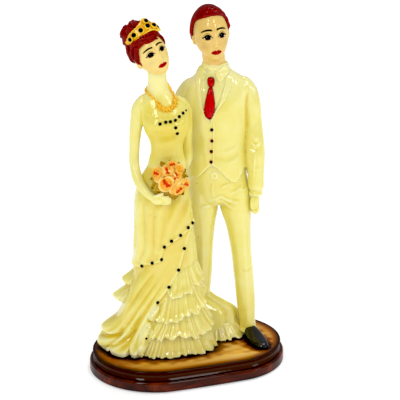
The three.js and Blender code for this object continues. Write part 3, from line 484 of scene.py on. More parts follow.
@dataclass(frozen=True)
class Loft:
    """A body through level oval sections (height, x, y, half width, half depth), lowest first."""

    stations: Points

    def points(self, heights: Array, turns: Array, out: Array | float = 0.0) -> Array:
        """Reads points of the surface.

        Args:
            heights: Their heights.
            turns: Their turns from +x, radians.
            out: How far they are pushed out.

        Returns:
            The points, for each height and turn.
        """
        heights, turns = np.broadcast_arrays(heights, turns)
        x, y, width, depth = np.moveaxis(between(self.stations, heights), -1, 0)
        across = x + (width + out) * np.cos(turns)
        deep = y + (depth + out) * np.sin(turns)
        return np.stack([across, deep, heights], axis=-1)

    def net(self, rows: int, columns: int) -> tuple[Array, Array]:
        """Returns heights from the lowest section to the highest, and turns all round."""
        heights = np.linspace(self.stations[0][0], self.stations[-1][0], rows)[:, None]
        return heights, np.linspace(0, FULL, columns + 1)[None]

    def body(self, name: str, rows: int, columns: int) -> Object:
        """Returns the plain closed body."""
        return grid(name, capped(self.points(*self.net(rows, columns))))


def tube(name: str, stations: Points, rows: int = 60, columns: int = 40) -> Object:
    """Returns a limb with rounded ends.

    Args:
        name: Name of the piece.
        stations: Points (x, y, z, radius) along the limb.
        rows: Rings along it.
        columns: Points round it.

    Returns:
        The limb.
    """
    table = np.asarray(stations, float)
    run = run_of(table[:, :3])
    values = between(np.column_stack([run, table]), np.linspace(0, run[-1], rows))
    middle, radius = values[:, :3], values[:, 3]
    along = unit(np.gradient(middle, axis=0))
    first, last = [], []
    for bend in np.linspace(math.pi / 2, 0, 7)[:-1]:
        for cap, k, side in ((first, 0, -1), (last, -1, 1)):
            tip = middle[k] + side * along[k] * radius[k] * math.sin(bend)
            cap.append((tip, along[k], radius[k] * math.cos(bend)))
    turn = np.linspace(0, FULL, columns + 1)
    rings = []
    for centre, way, size in first + list(zip(middle, along, radius)) + last[::-1]:
        across = np.cross(way, (0.0, 1.0, 0.0))
        across /= np.linalg.norm(across)
        over = np.cross(way, across)
        rings.append(centre + size * (np.outer(np.cos(turn), across) + np.outer(np.sin(turn), over)))
    return grid(name, np.stack(rings))


def digit(root: Array, steps: Points, rows: int, columns: int) -> Object:
    """Returns a finger, thumb or palm through steps (x, y, z, radius) from its root."""
    return tube("digit", [(*(root + spot[:3]), spot[3]) for spot in steps], rows, columns)


def lock(name: str, middle: Array, ups: Array, half: Array, twist: float) -> Object:
    """Returns a lock of hair, a tapering tube with grooved strands.

    Args:
        name: Name of the piece.
        middle: Points along the lock, couple frame.
        ups: Directions out of the head at those points.
        half: Half widths at those points.
        twist: How many strands cross over along the lock.

    Returns:
        The lock.
    """
    along = np.gradient(middle, axis=0)
    across = unit(np.cross(along, ups))
    over = unit(np.cross(across, along))
    turn = np.linspace(0, FULL, 49)[None]
    share = np.linspace(0, 1, len(middle))[:, None]
    strands = np.abs(np.sin(3.5 * turn + math.pi * twist * share))
    size = half[:, None] * (0.84 + 0.24 * strands)
    rings = middle[:, None] + (1.2 * size * np.cos(turn))[..., None] * across[:, None]
    return grid(name, capped(rings + (size * np.sin(turn))[..., None] * over[:, None]))


def ball(name: str, centre: Sequence[float], size: Sequence[float], detail: int = 4) -> Object:
    """Makes an ellipsoid as a closed mesh.

    Args:
        name: Name of the piece.
        centre: Its middle, couple frame.
        size: Full width, depth and height.
        detail: Subdivisions.

    Returns:
        The piece.
    """
    bpy.ops.object.select_all(action="DESELECT")
    bpy.ops.mesh.primitive_ico_sphere_add(subdivisions=detail, radius=1.0)
    obj = named(bpy.context.object, name)
    flat = np.empty(len(obj.data.vertices) * 3)
    obj.data.vertices.foreach_get("co", flat)
    set_points(obj, flat.reshape(-1, 3) * np.asarray(size) / 2 + np.asarray(centre))
    return obj


class Ground:
    """The finished surface of a piece, to seat other pieces on."""

    def __init__(self, *objs: Object) -> None:
        """Takes in the pieces as they stand."""
        graph = bpy.context.evaluated_depsgraph_get()
        self.trees = [BVHTree.FromObject(obj, graph) for obj in objs]

    def closest(self, hits: Sequence[tuple]) -> tuple[Array, Array] | None:
        """Picks the closest of several hits.

        Args:
            hits: What each surface answered.

        Returns:
            Its place and normal, couple frame, or None where all missed.
        """
        met = [hit for hit in hits if hit[0] is not None]
        if not met:
            return None
        place, normal, _, _ = min(met, key=lambda hit: hit[3])
        return to_couple(np.array(place)), np.array(normal) @ COUPLE

    def under(self, point: Sequence[float]) -> tuple[Array, Array] | None:
        """Returns what a sight line from the front through a point meets first, as closest does."""
        start = Vector(to_world(np.asarray(point, float) - (0, SIGHT_START, 0)))
        ray = Vector(COUPLE @ (0.0, 1.0, 0.0))
        return self.closest([tree.ray_cast(start, ray, SIGHT_REACH) for tree in self.trees])

    def nearest(self, point: Sequence[float]) -> tuple[Array, Array] | None:
        """Returns the nearest place of the surface and its normal, as closest does."""
        start = Vector(to_world(np.asarray(point, float)))
        return self.closest([tree.find_nearest(start) for tree in self.trees])


def rounded(outline: Points, rounds: int = 3) -> Array:
    """Rounds the corners of a closed outline.

    Args:
        outline: Corners of the outline.
        rounds: How often the corners are cut.

    Returns:
        The rounded outline.
    """
    points = np.asarray(outline, float)
    for _ in range(rounds):
        ahead = np.roll(points, -1, axis=0)
        cuts = [0.75 * points + 0.25 * ahead, 0.25 * points + 0.75 * ahead]
        points = np.stack(cuts, axis=1).reshape(-1, 2)
    return points


def respaced(outline: Array, spacing: float) -> Array:
    """Spreads points evenly along a closed outline.

    Args:
        outline: Points of the outline.
        spacing: Distance between the new points.

    Returns:
        The new points.
    """
    loop = np.vstack([outline, outline[:1]])
    run = run_of(loop)
    count = max(8, int(run[-1] / spacing))
    places = np.linspace(0, run[-1], count, endpoint=False)
    return np.stack([np.interp(places, run, loop[:, k]) for k in range(2)], axis=1)


@dataclass(frozen=True)
class Relief:
    """A flat shape laid on a surface: its outline (x, z) as seen from the front, and its cross-section.

    Attributes:
        outline: Corners of the outline, rounded when built.
        rise: Height over the surface.
        roll: Width over which the edge rolls up to that height.
        dish: Share of the height lost in the middle, so that the rim stands proud.
        spacing: Facet size.
        corners: Rounds of corner rounding.
    """

    outline: Points
    rise: float
    roll: float
    dish: float = 0.0
    spacing: float = 0.3
    corners: int = 2

    def build(self, name: str, ground: Ground) -> Object:
        """Lays the shape on a surface as a closed mesh.

        Args:
            name: Name of the piece.
            ground: The surface.

        Returns:
            The piece.
        """
        edge = respaced(rounded(self.outline, self.corners), self.spacing)
        low, high = edge.min(axis=0), edge.max(axis=0)
        across, up = np.meshgrid(*(np.arange(low[k], high[k], self.spacing) for k in range(2)))
        across[1::2] += self.spacing / 2
        inner = np.stack([across.ravel(), up.ravel()], axis=1)
        loop = np.vstack([edge, edge[:1]])
        gap, _ = near_path(loop, inner)
        inner = inner[gap > 0.6 * self.spacing]
        spots = [Vector(spot) for spot in np.vstack([edge, inner])]
        count = len(edge)
        border = [(k, (k + 1) % count) for k in range(count)]
        flat, _, faces, _, _, _ = delaunay_2d_cdt(spots, border, [list(range(count))], 1, 1e-6)
        flat = np.array([tuple(spot) for spot in flat])
        gap, _ = near_path(loop, flat)
        rim = gap < 1e-4
        roll = np.clip(gap / self.roll, 0, 1)
        lift = self.rise * np.sqrt(1 - (1 - roll) ** 2)
        lift -= self.rise * self.dish * step(gap, self.roll, max(2.5 * self.roll, gap.max()))
        tops, backs = [], []
        for (x, z), rise, on_rim in zip(flat, lift, rim):
            spot, normal = ground.under((x, 0, z)) or ground.nearest((x, 0, z))
            tops.append(spot + normal * (-LAID_SINK if on_rim else rise))
            backs.append(spot - normal * LAID_SINK)
        points = np.array(tops + [back for back, on_rim in zip(backs, rim) if not on_rim])
        index = np.arange(len(flat))
        index[~rim] = len(flat) + np.arange((~rim).sum())
        mesh = bpy.data.meshes.new(name)
        front = [list(face) for face in faces]
        back = [[int(index[k]) for k in reversed(face)] for face in faces]
        mesh.from_pydata(to_world(points), [], front + back)
        obj = bpy.data.objects.new(name, mesh)
        bpy.context.collection.objects.link(obj)
        return weld(obj)


def beads(name: str, spots: Sequence[tuple[Array, Array]], radius: Sequence[float], sink: float = BEAD_SINK,
          flat: float = 0.8) -> Object:
    """Sets glued-on beads.

    Args:
        name: Name of the piece.
        spots: Places and normals, couple frame.
        radius: Radius of each bead.
        sink: Share of the radius that lies in the surface.
        flat: Height of a bead against its width.

    Returns:
        One piece with all the beads.
    """
    made = []
    for (place, normal), size in zip(spots, radius):
        bead = ball(name, (0, 0, 0), (2 * size, 2 * size, 2 * size * flat), 3)
        points = points_of(bead) @ turned_to(normal).T
        set_points(bead, points + place + normal * size * flat * (1 - 2 * sink))
        made.append(bead)
    return join(name, made)


# Finishes


def linear(colour: str) -> tuple[float, float, float, float]:
    """Turns an sRGB hex colour into linear light."""
    parts = [int(colour[k:k + 2], 16) / 255 for k in (1, 3, 5)]
    red, green, blue = [c / 12.92 if c <= 0.04045 else ((c + 0.055) / 1.055) ** 2.4 for c in parts]
    return red, green, blue, 1.0


def plug(node: bpy.types.Node, inputs: dict) -> None:
    """Gives a node's inputs their values or links.

    Args:
        node: The node.
        inputs: A value, or another node's output, for each socket.
    """
    for socket, source in inputs.items():
        if isinstance(source, bpy.types.NodeSocket):
            node.id_data.links.new(source, node.inputs[socket])
        else:
            node.inputs[socket].default_value = source


def add_node(tree: bpy.types.NodeTree, kind: str, inputs: dict | None = None,
             **settings: object) -> bpy.types.Node:
    """Adds a shader node.

    Args:
        tree: The material's nodes.
        kind: Type of the node, without Blender's prefix.
        inputs: A value, or another node's output, for each socket.
        **settings: The node's settings.

    Returns:
        The node.
    """
    node = tree.nodes.new("ShaderNode" + kind)
    for key, value in settings.items():
        setattr(node, key, value)
    plug(node, inputs or {})
    return node


def new_material(name: str) -> tuple[Material, bpy.types.Node, bpy.types.NodeSocket]:
    """Makes an empty material.

    Args:
        name: What the finish is.

    Returns:
        The material, its shader and the place on the piece.
    """
    material = bpy.data.materials.new(name)
    material.use_nodes = True
    tree = material.node_tree
    return material, tree.nodes["Principled BSDF"], add_node(tree, "TexCoord").outputs["Object"]


def per_mm(size: float) -> float:
    """Scale of a pattern whose cells measure a size in millimetres."""
    return 1.0 / (size * MM)


@dataclass(frozen=True)
class Cast:
    """A cast or painted gloss finish, painted light on its crests and painted shade in its creases.

    Attributes:
        name: What the finish is.
        crest: Colour of the crests.
        body: Colour of the flat.
        crease: Colour of the hollows.
        cloud: Size of the cloudy patches, millimetres.
        drift: How far the patches shift the colour.
        rough: Least and greatest roughness.
        coat: Clear lacquer over it.
        depth: How much light goes under the surface.
        glow: How far red, green and blue light goes under the surface, millimetres.
        speck: Colour of casting pits, or empty.
        uneven: Height of the surface's unevenness, millimetres.
        metal: Share of metal flake.
        painted: Whether brushed-on paint is recorded on the mesh.
        mirror: How strongly the paint itself mirrors, 0.5 for plain resin.
        ripple: Height of the waves that the lacquer dried in, millimetres.
        index: Refractive index of the lacquer.
    """

    name: str
    crest: str
    body: str
    crease: str
    cloud: float = 7.0
    drift: float = 0.25
    rough: tuple[float, float] = (0.16, 0.3)
    coat: float = 0.5
    depth: float = 0.0
    glow: tuple[float, float, float] = (2.0, 1.5, 0.5)
    speck: str = ""
    uneven: float = 0.05
    metal: float = 0.0
    painted: bool = False
    mirror: float = 0.5
    ripple: float = 0.03
    index: float = 1.5

    def make(self) -> Material:
        """Builds the shader.

        Returns:
            The material.
        """
        material, shader, spot = new_material(self.name)
        tree = material.node_tree
        # The crease attribute places painted light on crests and painted shade in hollows.
        hollow = add_node(tree, "Attribute", attribute_name="crease").outputs["Fac"]
        cloud = add_node(tree, "TexNoise", {"Vector": spot, "Scale": per_mm(self.cloud), "Detail": 3.0})
        shift = add_node(tree, "Math", {0: cloud.outputs["Fac"], 1: -0.5}, operation="ADD")
        place = add_node(tree, "Math", {0: shift.outputs[0], 1: self.drift, 2: hollow},
                         operation="MULTIPLY_ADD")
        ramp = add_node(tree, "ValToRGB", {"Fac": place.outputs[0]})
        stops = ramp.color_ramp.elements
        stops[0].position, stops[0].color = 0.1, linear(self.crest)
        stops[1].position, stops[1].color = 0.85, linear(self.crease)
        middle = stops.new(0.5)
        middle.color = linear(self.body)
        colour, coat = ramp.outputs["Color"], self.coat
        if self.painted:
            paint = add_node(tree, "Attribute", attribute_name="paint")
            colour = add_node(tree, "Mix", {
                "Factor": paint.outputs["Alpha"], MIX_A: colour, MIX_B: paint.outputs["Color"],
            }, data_type="RGBA").outputs[MIXED]
            coat = add_node(tree, "Math", {
                0: paint.outputs["Alpha"], 1: -PAINT_DULLS * self.coat, 2: self.coat,
            }, operation="MULTIPLY_ADD").outputs[0]
        if self.speck:
            pits = add_node(tree, "TexVoronoi", {"Vector": spot, "Scale": per_mm(7.0)})
            dot = add_node(tree, "Math", {0: pits.outputs["Distance"], 1: 0.035}, operation="LESS_THAN")
            colour = add_node(tree, "Mix", {
                "Factor": dot.outputs[0], MIX_A: colour, MIX_B: linear(self.speck),
            }, data_type="RGBA").outputs[MIXED]
        grain = add_node(tree, "TexNoise", {"Vector": spot, "Scale": per_mm(1.6), "Detail": 2.0})
        gloss = add_node(tree, "MapRange", {
            "Value": grain.outputs["Fac"], "To Min": self.rough[0], "To Max": self.rough[1],
        })
        bump = add_node(tree, "Bump", {
            "Height": grain.outputs["Fac"], "Distance": self.uneven * MM, "Strength": 0.6,
        })
        runs = add_node(tree, "Mapping", {"Vector": spot, "Scale": (1.0, 1.0, 0.4)})
        waves = add_node(tree, "TexNoise", {
            "Vector": runs.outputs["Vector"], "Scale": per_mm(1.3), "Detail": 1.0,
        })
        lacquer = add_node(tree, "Bump", {
            "Height": waves.outputs["Fac"], "Distance": self.ripple * MM, "Strength": 1.0,
        })
        plug(shader, {
            "Base Color": colour, "Roughness": gloss.outputs["Result"], "Normal": bump.outputs["Normal"],
            "Metallic": self.metal, "Specular IOR Level": self.mirror,
            "Coat Weight": coat, "Coat IOR": self.index, "Coat Roughness": LACQUER_ROUGH,
            "Coat Normal": lacquer.outputs["Normal"],
            "Subsurface Weight": self.depth, "Subsurface Radius": self.glow, "Subsurface Scale": MM,
        })
        return material


@dataclass(frozen=True)
class Stain:
    """Resin cast to look like timber, stained in bands and lacquered: the base.

    Attributes:
        name: What the finish is.
        light: Colour of the open grain.
        body: Main colour.
        dark: Colour of the dark bands.
        glaze: What a thin wash leaves of the colour.
        edge: What a full wash leaves: stain at edges, stain and painted shade round the figures.
        band: Width of the bands, millimetres.
        coat: Clear lacquer over it.
    """

    name: str
    light: str
    body: str
    dark: str
    glaze: str
    edge: str
    band: float
    coat: float

    def make(self) -> Material:
        """Builds the shader.

        Returns:
            The material.
        """
        material, shader, spot = new_material(self.name)
        tree = material.node_tree
        long_grain = add_node(tree, "Mapping", {"Vector": spot, "Scale": (0.16, 1.0, 0.6)})
        bands = add_node(tree, "TexNoise", {
            "Vector": long_grain.outputs["Vector"], "Scale": per_mm(self.band),
            "Detail": 4.0, "Distortion": 0.6,
        })
        ramp = add_node(tree, "ValToRGB", {"Fac": bands.outputs["Fac"]})
        stops = ramp.color_ramp.elements
        stops[0].position, stops[0].color = 0.3, linear(self.dark)
        stops[1].position, stops[1].color = 0.7, linear(self.light)
        middle = stops.new(0.5)
        middle.color = linear(self.body)
        wash = add_node(tree, "Attribute", attribute_name="wash")
        pool = add_node(tree, "ValToRGB", {"Fac": wash.outputs["Fac"]})
        stops = pool.color_ramp.elements
        stops[0].color, stops[1].color = linear("#FFFFFF"), linear(self.edge)
        thin = stops.new(0.5)
        thin.color = linear(self.glaze)
        colour = add_node(tree, "Mix", {
            "Factor": 1.0, MIX_A: ramp.outputs["Color"], MIX_B: pool.outputs["Color"],
        }, data_type="RGBA", blend_type="MULTIPLY")
        gloss = add_node(tree, "MapRange", {"Value": bands.outputs["Fac"], "To Min": 0.3, "To Max": 0.18})
        waves = add_node(tree, "TexNoise", {"Vector": spot, "Scale": per_mm(4.0), "Detail": 2.0})
        bump = add_node(tree, "Bump", {
            "Height": waves.outputs["Fac"], "Distance": 0.12 * MM, "Strength": 0.5,
        })
        plug(shader, {
            "Base Color": colour.outputs[MIXED], "Roughness": gloss.outputs["Result"],
            "Normal": bump.outputs["Normal"], "Coat Normal": bump.outputs["Normal"],
            "Specular IOR Level": 0.0, "Coat Weight": self.coat, "Coat Roughness": LACQUER_ROUGH,
        })
        return material


@dataclass(frozen=True)
class Plain:
    """A grained finish out of sight: felt or plated steel.

    Attributes:
        name: What the finish is.
        one: First colour of the grain.
        two: Second colour of the grain.
        grain: Grain size, millimetres.
        rough: Roughness.
        metal: Share of metal.
    """

    name: str
    one: str
    two: str
    grain: float
    rough: float
    metal: float = 0.0

    def make(self) -> Material:
        """Builds the shader.

        Returns:
            The material.
        """
        material, shader, spot = new_material(self.name)
        tree = material.node_tree
        grain = add_node(tree, "TexNoise", {"Vector": spot, "Scale": per_mm(self.grain), "Detail": 5.0})
        colour = add_node(tree, "Mix", {
            "Factor": grain.outputs["Fac"], MIX_A: linear(self.one), MIX_B: linear(self.two),
        }, data_type="RGBA")
        bump = add_node(tree, "Bump", {"Height": grain.outputs["Fac"], "Distance": 0.2 * MM})
        plug(shader, {
            "Base Color": colour.outputs[MIXED], "Normal": bump.outputs["Normal"],
            "Roughness": self.rough, "Metallic": self.metal,
        })
        return material


class Finishes:
    """Every finish of the topper, made once."""

    def __init__(self) -> None:
        """Makes the materials."""
        # Unfilled polyester casting, aged to ivory: light goes in; its pale crests and deep yellow hollows
        # are painted light and painted shade.
        ivory = Cast("ivory_cast_polyresin", "#F8F3B8", "#EDE274", "#E2C426", depth=0.3, speck="#8A5A20",
                     coat=1.0, drift=0.34, cloud=9.0, glow=(1.2, 1.0, 0.5), mirror=0.0, ripple=0.1, index=1.8)
        self.ivory = ivory.make()
        # The frills' lacquer ran down the pleats and dried in streaks.
        self.frill = replace(ivory, name="ivory_frill_polyresin", ripple=0.3, index=2.2).make()
        # The train's edge took up some of the base's stain in its hollows, over their painted shade.
        self.lace = replace(ivory, name="amber_stained_polyresin", crease="#A67A1C", ripple=0.3,
                            index=2.2).make()
        # The bodice was rubbed down, so its lacquer is thinner and shines less.
        self.bodice = replace(ivory, name="ivory_bodice_polyresin", coat=0.4).make()
        # The same casting brushed with a warm flesh glaze before the lacquer; features are brushed on top.
        self.skin = Cast("flesh_glazed_polyresin", "#FBEBAE", "#F6D980", "#D2962E", depth=0.05, index=1.8,
                         glow=(1.0, 0.8, 0.5), painted=True, mirror=0.0).make()
        # Brushed mahogany enamel, redder on the crests as painted light and nearly black in the grooves as
        # painted shade.
        self.hair = Cast("mahogany_enamel", "#A8120A", "#780402", "#160000", cloud=2.2, drift=0.55,
                         rough=(0.1, 0.2), coat=0.26, mirror=0.0, ripple=0.2).make()
        # Bronze-powder gold paint with a red-brown wash left in the hollows.
        self.gold = Cast("gold_powder_paint", "#FFDC28", "#F4B00C", "#6A1A04", cloud=1.5, drift=0.35,
                         rough=(0.2, 0.4), coat=0.3, metal=0.15).make()
        # Peach enamel petals with coral hearts, brushed on flower by flower.
        self.rose = Cast("peach_petal_enamel", "#FFE89A", "#FDD05C", "#F49A20", cloud=2.0, rough=(0.2, 0.35),
                         coat=0.4, depth=0.05, glow=(1.0, 0.7, 0.4), painted=True, mirror=0.0).make()
        # Olive enamel, paler gold on the leaf crests.
        self.leaf = Cast("olive_gold_enamel", "#DCBE38", "#C09608", "#7E5C02", cloud=2.0, rough=(0.2, 0.35),
                         coat=0.35, mirror=0.0).make()
        # Bright red enamel; its darker sides and folds are painted shade.
        self.tie = Cast("red_enamel", "#DC0610", "#B80208", "#500103", cloud=1.8, drift=0.9,
                        rough=(0.08, 0.16), coat=0.35, mirror=0.0, ripple=0.2).make()
        # Dark red enamel dots.
        self.button = Cast("oxblood_enamel", "#7A1010", "#4A0606", "#120101", cloud=0.8, drift=0.5,
                           rough=(0.1, 0.2), coat=0.15, mirror=0.0).make()
        # Black glass-like beads with a cold sheen.
        self.bead = Cast("black_bead_enamel", "#0C1018", "#04050A", "#000001", cloud=0.6, rough=(0.08, 0.16),
                         coat=0.18, uneven=0.02, mirror=0.0).make()
        # Thick black enamel.
        self.shoe = Cast("black_enamel", "#0E0C0A", "#050404", "#010101", cloud=3.0, rough=(0.06, 0.14),
                         coat=0.8, mirror=0.0, index=1.6).make()
        # Honey stain pooled dark at the deck's rim and round the hem, with painted shade round the hem and on
        # the left.
        self.deck = Stain("honey_stained_resin", "#F6CE74", "#EBB248", "#D69A34", "#AC7A26", "#2C0E02",
                          9.0, 0.3).make()
        # Mahogany stain under thick lacquer.
        self.tier = Stain("mahogany_stained_resin", "#823208", "#4A1402", "#140601", "#A06040", "#502010",
                          6.0, 0.45).make()
        # Pressed wool felt: dull brown with a fine nap.
        self.felt = Plain("brown_felt", "#3A2114", "#5A3824", 0.5, 0.95).make()
        # Zinc-plated steel screws: cold grey and half bright.
        self.steel = Plain("zinc_plated_steel", "#8A8C90", "#B4B6BA", 0.8, 0.4, 1.0).make()


def dress(obj: Object, finish: Material, slot: Slot, *nodes: str) -> Object:
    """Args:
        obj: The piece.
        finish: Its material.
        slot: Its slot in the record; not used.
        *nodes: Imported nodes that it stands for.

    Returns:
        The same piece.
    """
    obj.data.materials.clear()
    obj.data.materials.append(finish)
    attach(obj, BODY)
    if nodes:
        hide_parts(*nodes)
    LOG.info("%s: %d faces", obj.name, len(obj.data.polygons))
    return obj


def set_black_beads(name: str, spots: Sequence[tuple[Array, Array]], radius: Sequence[float],
                    finishes: Finishes, sink: float = BEAD_SINK) -> None:
    """Sets and dresses black beads; the arguments are those of beads."""
    dots = beads(name, spots, radius, sink)
    record_value(dots, "crease", np.full(len(dots.data.vertices), BEAD_TONE))
    dress(shade(dots), finishes.bead, Slot.SHOE)


# The base


@dataclass
class Base:
    """Two-tier oval plinth."""

    length: float = 99.78
    width: float = 67.78
    felt: float = 0.8
    lower: float = 5.0
    upper: float = 4.5
    tier_step: float = 1.7
    shoulder: float = 1.5
    foot_round: float = 0.6
    lip_round: float = 0.45
    cove: float = 0.8
    sides: int = 240

    def ring(self, inset: float, height: float) -> Array:
        """Draws the oval along the base's own axes.

        Args:
            inset: How far inside the outline.
            height: How high.

        Returns:
            Couple-frame points all round.
        """
        radius = self.width / 2 - inset
        straight = (self.length - self.width) / 2
        turn = np.linspace(0, FULL, self.sides + 1)
        shift = straight * np.clip(6 * np.cos(turn), -1, 1)
        ring = np.stack([shift + radius * np.cos(turn), radius * np.sin(turn), np.full_like(turn, height)],
                        axis=1)
        return ring @ COUPLE

    def plate(self, name: str, profile: Points) -> Object:
        """Returns a closed plate over a profile of insets and heights."""
        return grid(name, capped(np.stack([self.ring(*spot) for spot in profile])))

    def rim_gap(self, points: Array) -> Array:
        """Measures points against the base's outline.

        Args:
            points: Couple-frame points.

        Returns:
            How far inside the outline each one lies.
        """
        flat = points @ COUPLE.T
        straight = (self.length - self.width) / 2
        beyond = np.maximum(np.abs(flat[:, 0]) - straight, 0)
        return self.width / 2 - np.hypot(beyond, flat[:, 1])

    def build(self, finishes: Finishes, standing: Array) -> None:
        """Builds and dresses the base.

        Args:
            finishes: The finishes.
            standing: Points of the figures that touch the deck.
        """
        top = self.felt + self.lower
        arc = [math.pi / 2 * k / 10 for k in range(11)]
        edge, lip_edge = self.foot_round, self.lip_round
        foot = [(edge * math.sin(a), self.felt + edge * (1 - math.cos(a))) for a in arc[::-1]]
        wall = [(0.0, self.felt + edge + (self.lower - self.shoulder - edge) * k / 8) for k in range(1, 8)]
        roll = [(self.shoulder * (1 - math.cos(a)), top - self.shoulder * (1 - math.sin(a))) for a in arc]
        seat = [(self.shoulder + k, top) for k in (0.4, 1.5, 6.0, 14.0, 26.0)]
        lower = self.plate("base_lower", foot + wall + roll + seat)
        rise = []
        for k in range(13):
            hollow = self.cove * math.sin(math.pi * k / 12)
            rise.append((self.tier_step - 0.1 + hollow, top + 0.15 + (self.upper - 0.6) * k / 12))
        lip = [(self.tier_step + lip_edge * (1 - math.cos(a)) - 0.1,
                DECK_Z - lip_edge * (1 - math.sin(a))) for a in arc]
        insets = np.concatenate([np.arange(0.6, 12, 0.3), np.arange(12, 30, 0.6)])
        deck = [(self.tier_step + inset, DECK_Z) for inset in insets]
        upper = self.plate("base_upper", [(self.tier_step + 1.5, top - 0.2)] + rise + lip + deck)
        for obj in (lower, upper):
            points = points_of(obj)
            z = points[:, 2]
            if obj is upper:
                spare = self.rim_gap(points) - self.tier_step
                rim = np.exp(-((np.maximum(spare - 0.8, 0) / 3.2) ** 1.3))
                # The deck darkens with stain at the rim, and with stain and painted shade round the figures.
                wash = np.where(z < DECK_Z - 0.3, 0.97, np.maximum(rim, self.pooled_and_shaded(points, standing)))
            else:
                # The lower tier darkens near the floor and at the foot of the upper tier.
                wash = 0.7 * step(-z, -2.2, -1.0) + 0.75 * step(z, top - 0.25, top - 0.02)
            record_value(obj, "wash", wash)
            shade(obj, 35)
        dress(lower, finishes.tier, Slot.TIER, "base_lower_tier")
        dress(upper, finishes.deck, Slot.DECK, "base_upper_tier")

    def pooled_and_shaded(self, points: Array, standing: Array) -> Array:
        """Finds where the deck darkens: stain and painted shade round the figures, painted shade on the left.

        Args:
            points: Points of the deck.
            standing: Points (x, y) of the figures that touch it.

        Returns:
            From 0 for none to 1 for the darkest.
        """
        cells = np.unique(np.round(standing / 0.8), axis=0) * 0.8
        gaps = np.full(len(points), np.inf)
        for x, y in cells:
            gaps = np.minimum(gaps, np.hypot(points[:, 0] - x, points[:, 1] - y))
        ripple = 1 + 0.5 * np.sin(points[:, 0] * 0.7) * np.sin(points[:, 1] * 0.9 + 1)
        shaded = 0.5 * step(-points[:, 0], 18, 36)
        return np.maximum(shaded, np.exp(-((np.maximum(gaps - 1.0, 0) / (3.0 * ripple)) ** 1.2)))


# The bride


@dataclass(frozen=True)
class Ruffle:
    """A pleated frill that hangs from a body.

    Attributes:
        name: Name of the piece.
        nodes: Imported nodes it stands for.
        head: Upper edge, as (turn in degrees, height).
        foot: Free edge, as (turn in degrees, height).
        flare: How far the free edge stands out, as (turn in degrees, distance).
        pleat: Width of one pleat.
        lobe: Width of one scallop of the edge.
        phase: Shifts the pleats, so that no two frills are alike.
        thickness: Thickness of the frill.
        depth: Depth of the fine pleats.
    """

    name: str
    nodes: tuple[str, ...]
    head: Points
    foot: Points
    flare: Points
    pleat: float = 1.7
    lobe: float = 6.0
    phase: float = 0.0
    thickness: float = 1.15
    depth: float = 0.5

    def build(self, body: Loft) -> Object:
        """Builds the frill, no lower than where the figures are seated.

        Args:
            body: What it hangs from.

        Returns:
            The frill.
        """
        first, last = self.foot[0][0], self.foot[-1][0]
        turns = np.linspace(first, last, int((last - first) * 2.1))
        head, foot, flare = (between(line, turns)[:, 0] for line in (self.head, self.foot, self.flare))
        edge = body.points(foot, np.radians(turns), flare)
        run = run_of(edge)
        ends = np.minimum(step(run, 0, 2.0), step(run[-1] - run, 0, 1.2))
        fan = step(turns, 475, 520)
        slant = 3.4 * np.clip((turns - 305) / 45, -1, 1) * (1 - fan)
        half = self.thickness / 2
        rows = [(share, half * min(1, 4 * share), 0.0) for share in np.linspace(0, 1, 28)]
        bends = np.linspace(0, math.pi, 7)[1:-1]
        rows += [(1.0, half * math.cos(bend), half * math.sin(bend)) for bend in bends]
        rows += [(share, -half, 0.0) for share in np.linspace(1, 0.25, 12)]
        rings = []
        for share, side, below in rows:
            along = run - slant * share
            drift = self.phase + 1.5 * np.sin(along / 5.1 + self.phase)
            drift = drift + 0.9 * np.sin(along / 2.7 + 3 * self.phase)
            fine = 0.75 * np.sin(FULL * along / self.pleat + drift)
            fine += 0.25 * np.sin(FULL * along / (0.57 * self.pleat) - 1.7 * drift)
            fine *= 0.5 + 0.5 * np.sin(along / 2.3 + 5 * self.phase)
            fine += 0.8 * np.sin(FULL * along / (2.2 * self.pleat) - 0.7 * drift)
            shell = np.abs(np.sin(math.pi * along / self.lobe + 0.8 * drift)) - 0.64
            bulge = np.sin(math.pi * share**2.1) ** 0.8 if share < 1 else 0.0
            hang = (1 - fan) * share**1.3 + fan * bulge
            sway = self.depth * fine * share**0.6 + 1.2 * shell * share**1.4 * (1 - 0.5 * fan)
            lip = 0.4 * max(0.0, share - 0.8) / 0.2
            out = (flare * hang + sway + lip + side) * ends - 0.35 * (1 - share) - 0.2 * (1 - ends)
            drop = foot - (1.0 * shell * share**2 + 0.2 * fine * share**3) * (1 - 0.4 * fan) - below
            heights = head + (drop - head) * share
            rings.append(body.points(np.maximum(heights, SEAT_Z), np.radians(turns), out))
        stack = np.stack(rings)
        loop = np.concatenate([stack, stack[:1]])
        first_end, last_end = (np.zeros((len(loop), 1, 3)) + loop[:, k].mean(axis=0) for k in (0, -1))
        closed = np.concatenate([first_end, loop, last_end], axis=1)
        return polish(grid(self.name, closed), 12, 0.36, 0.06)


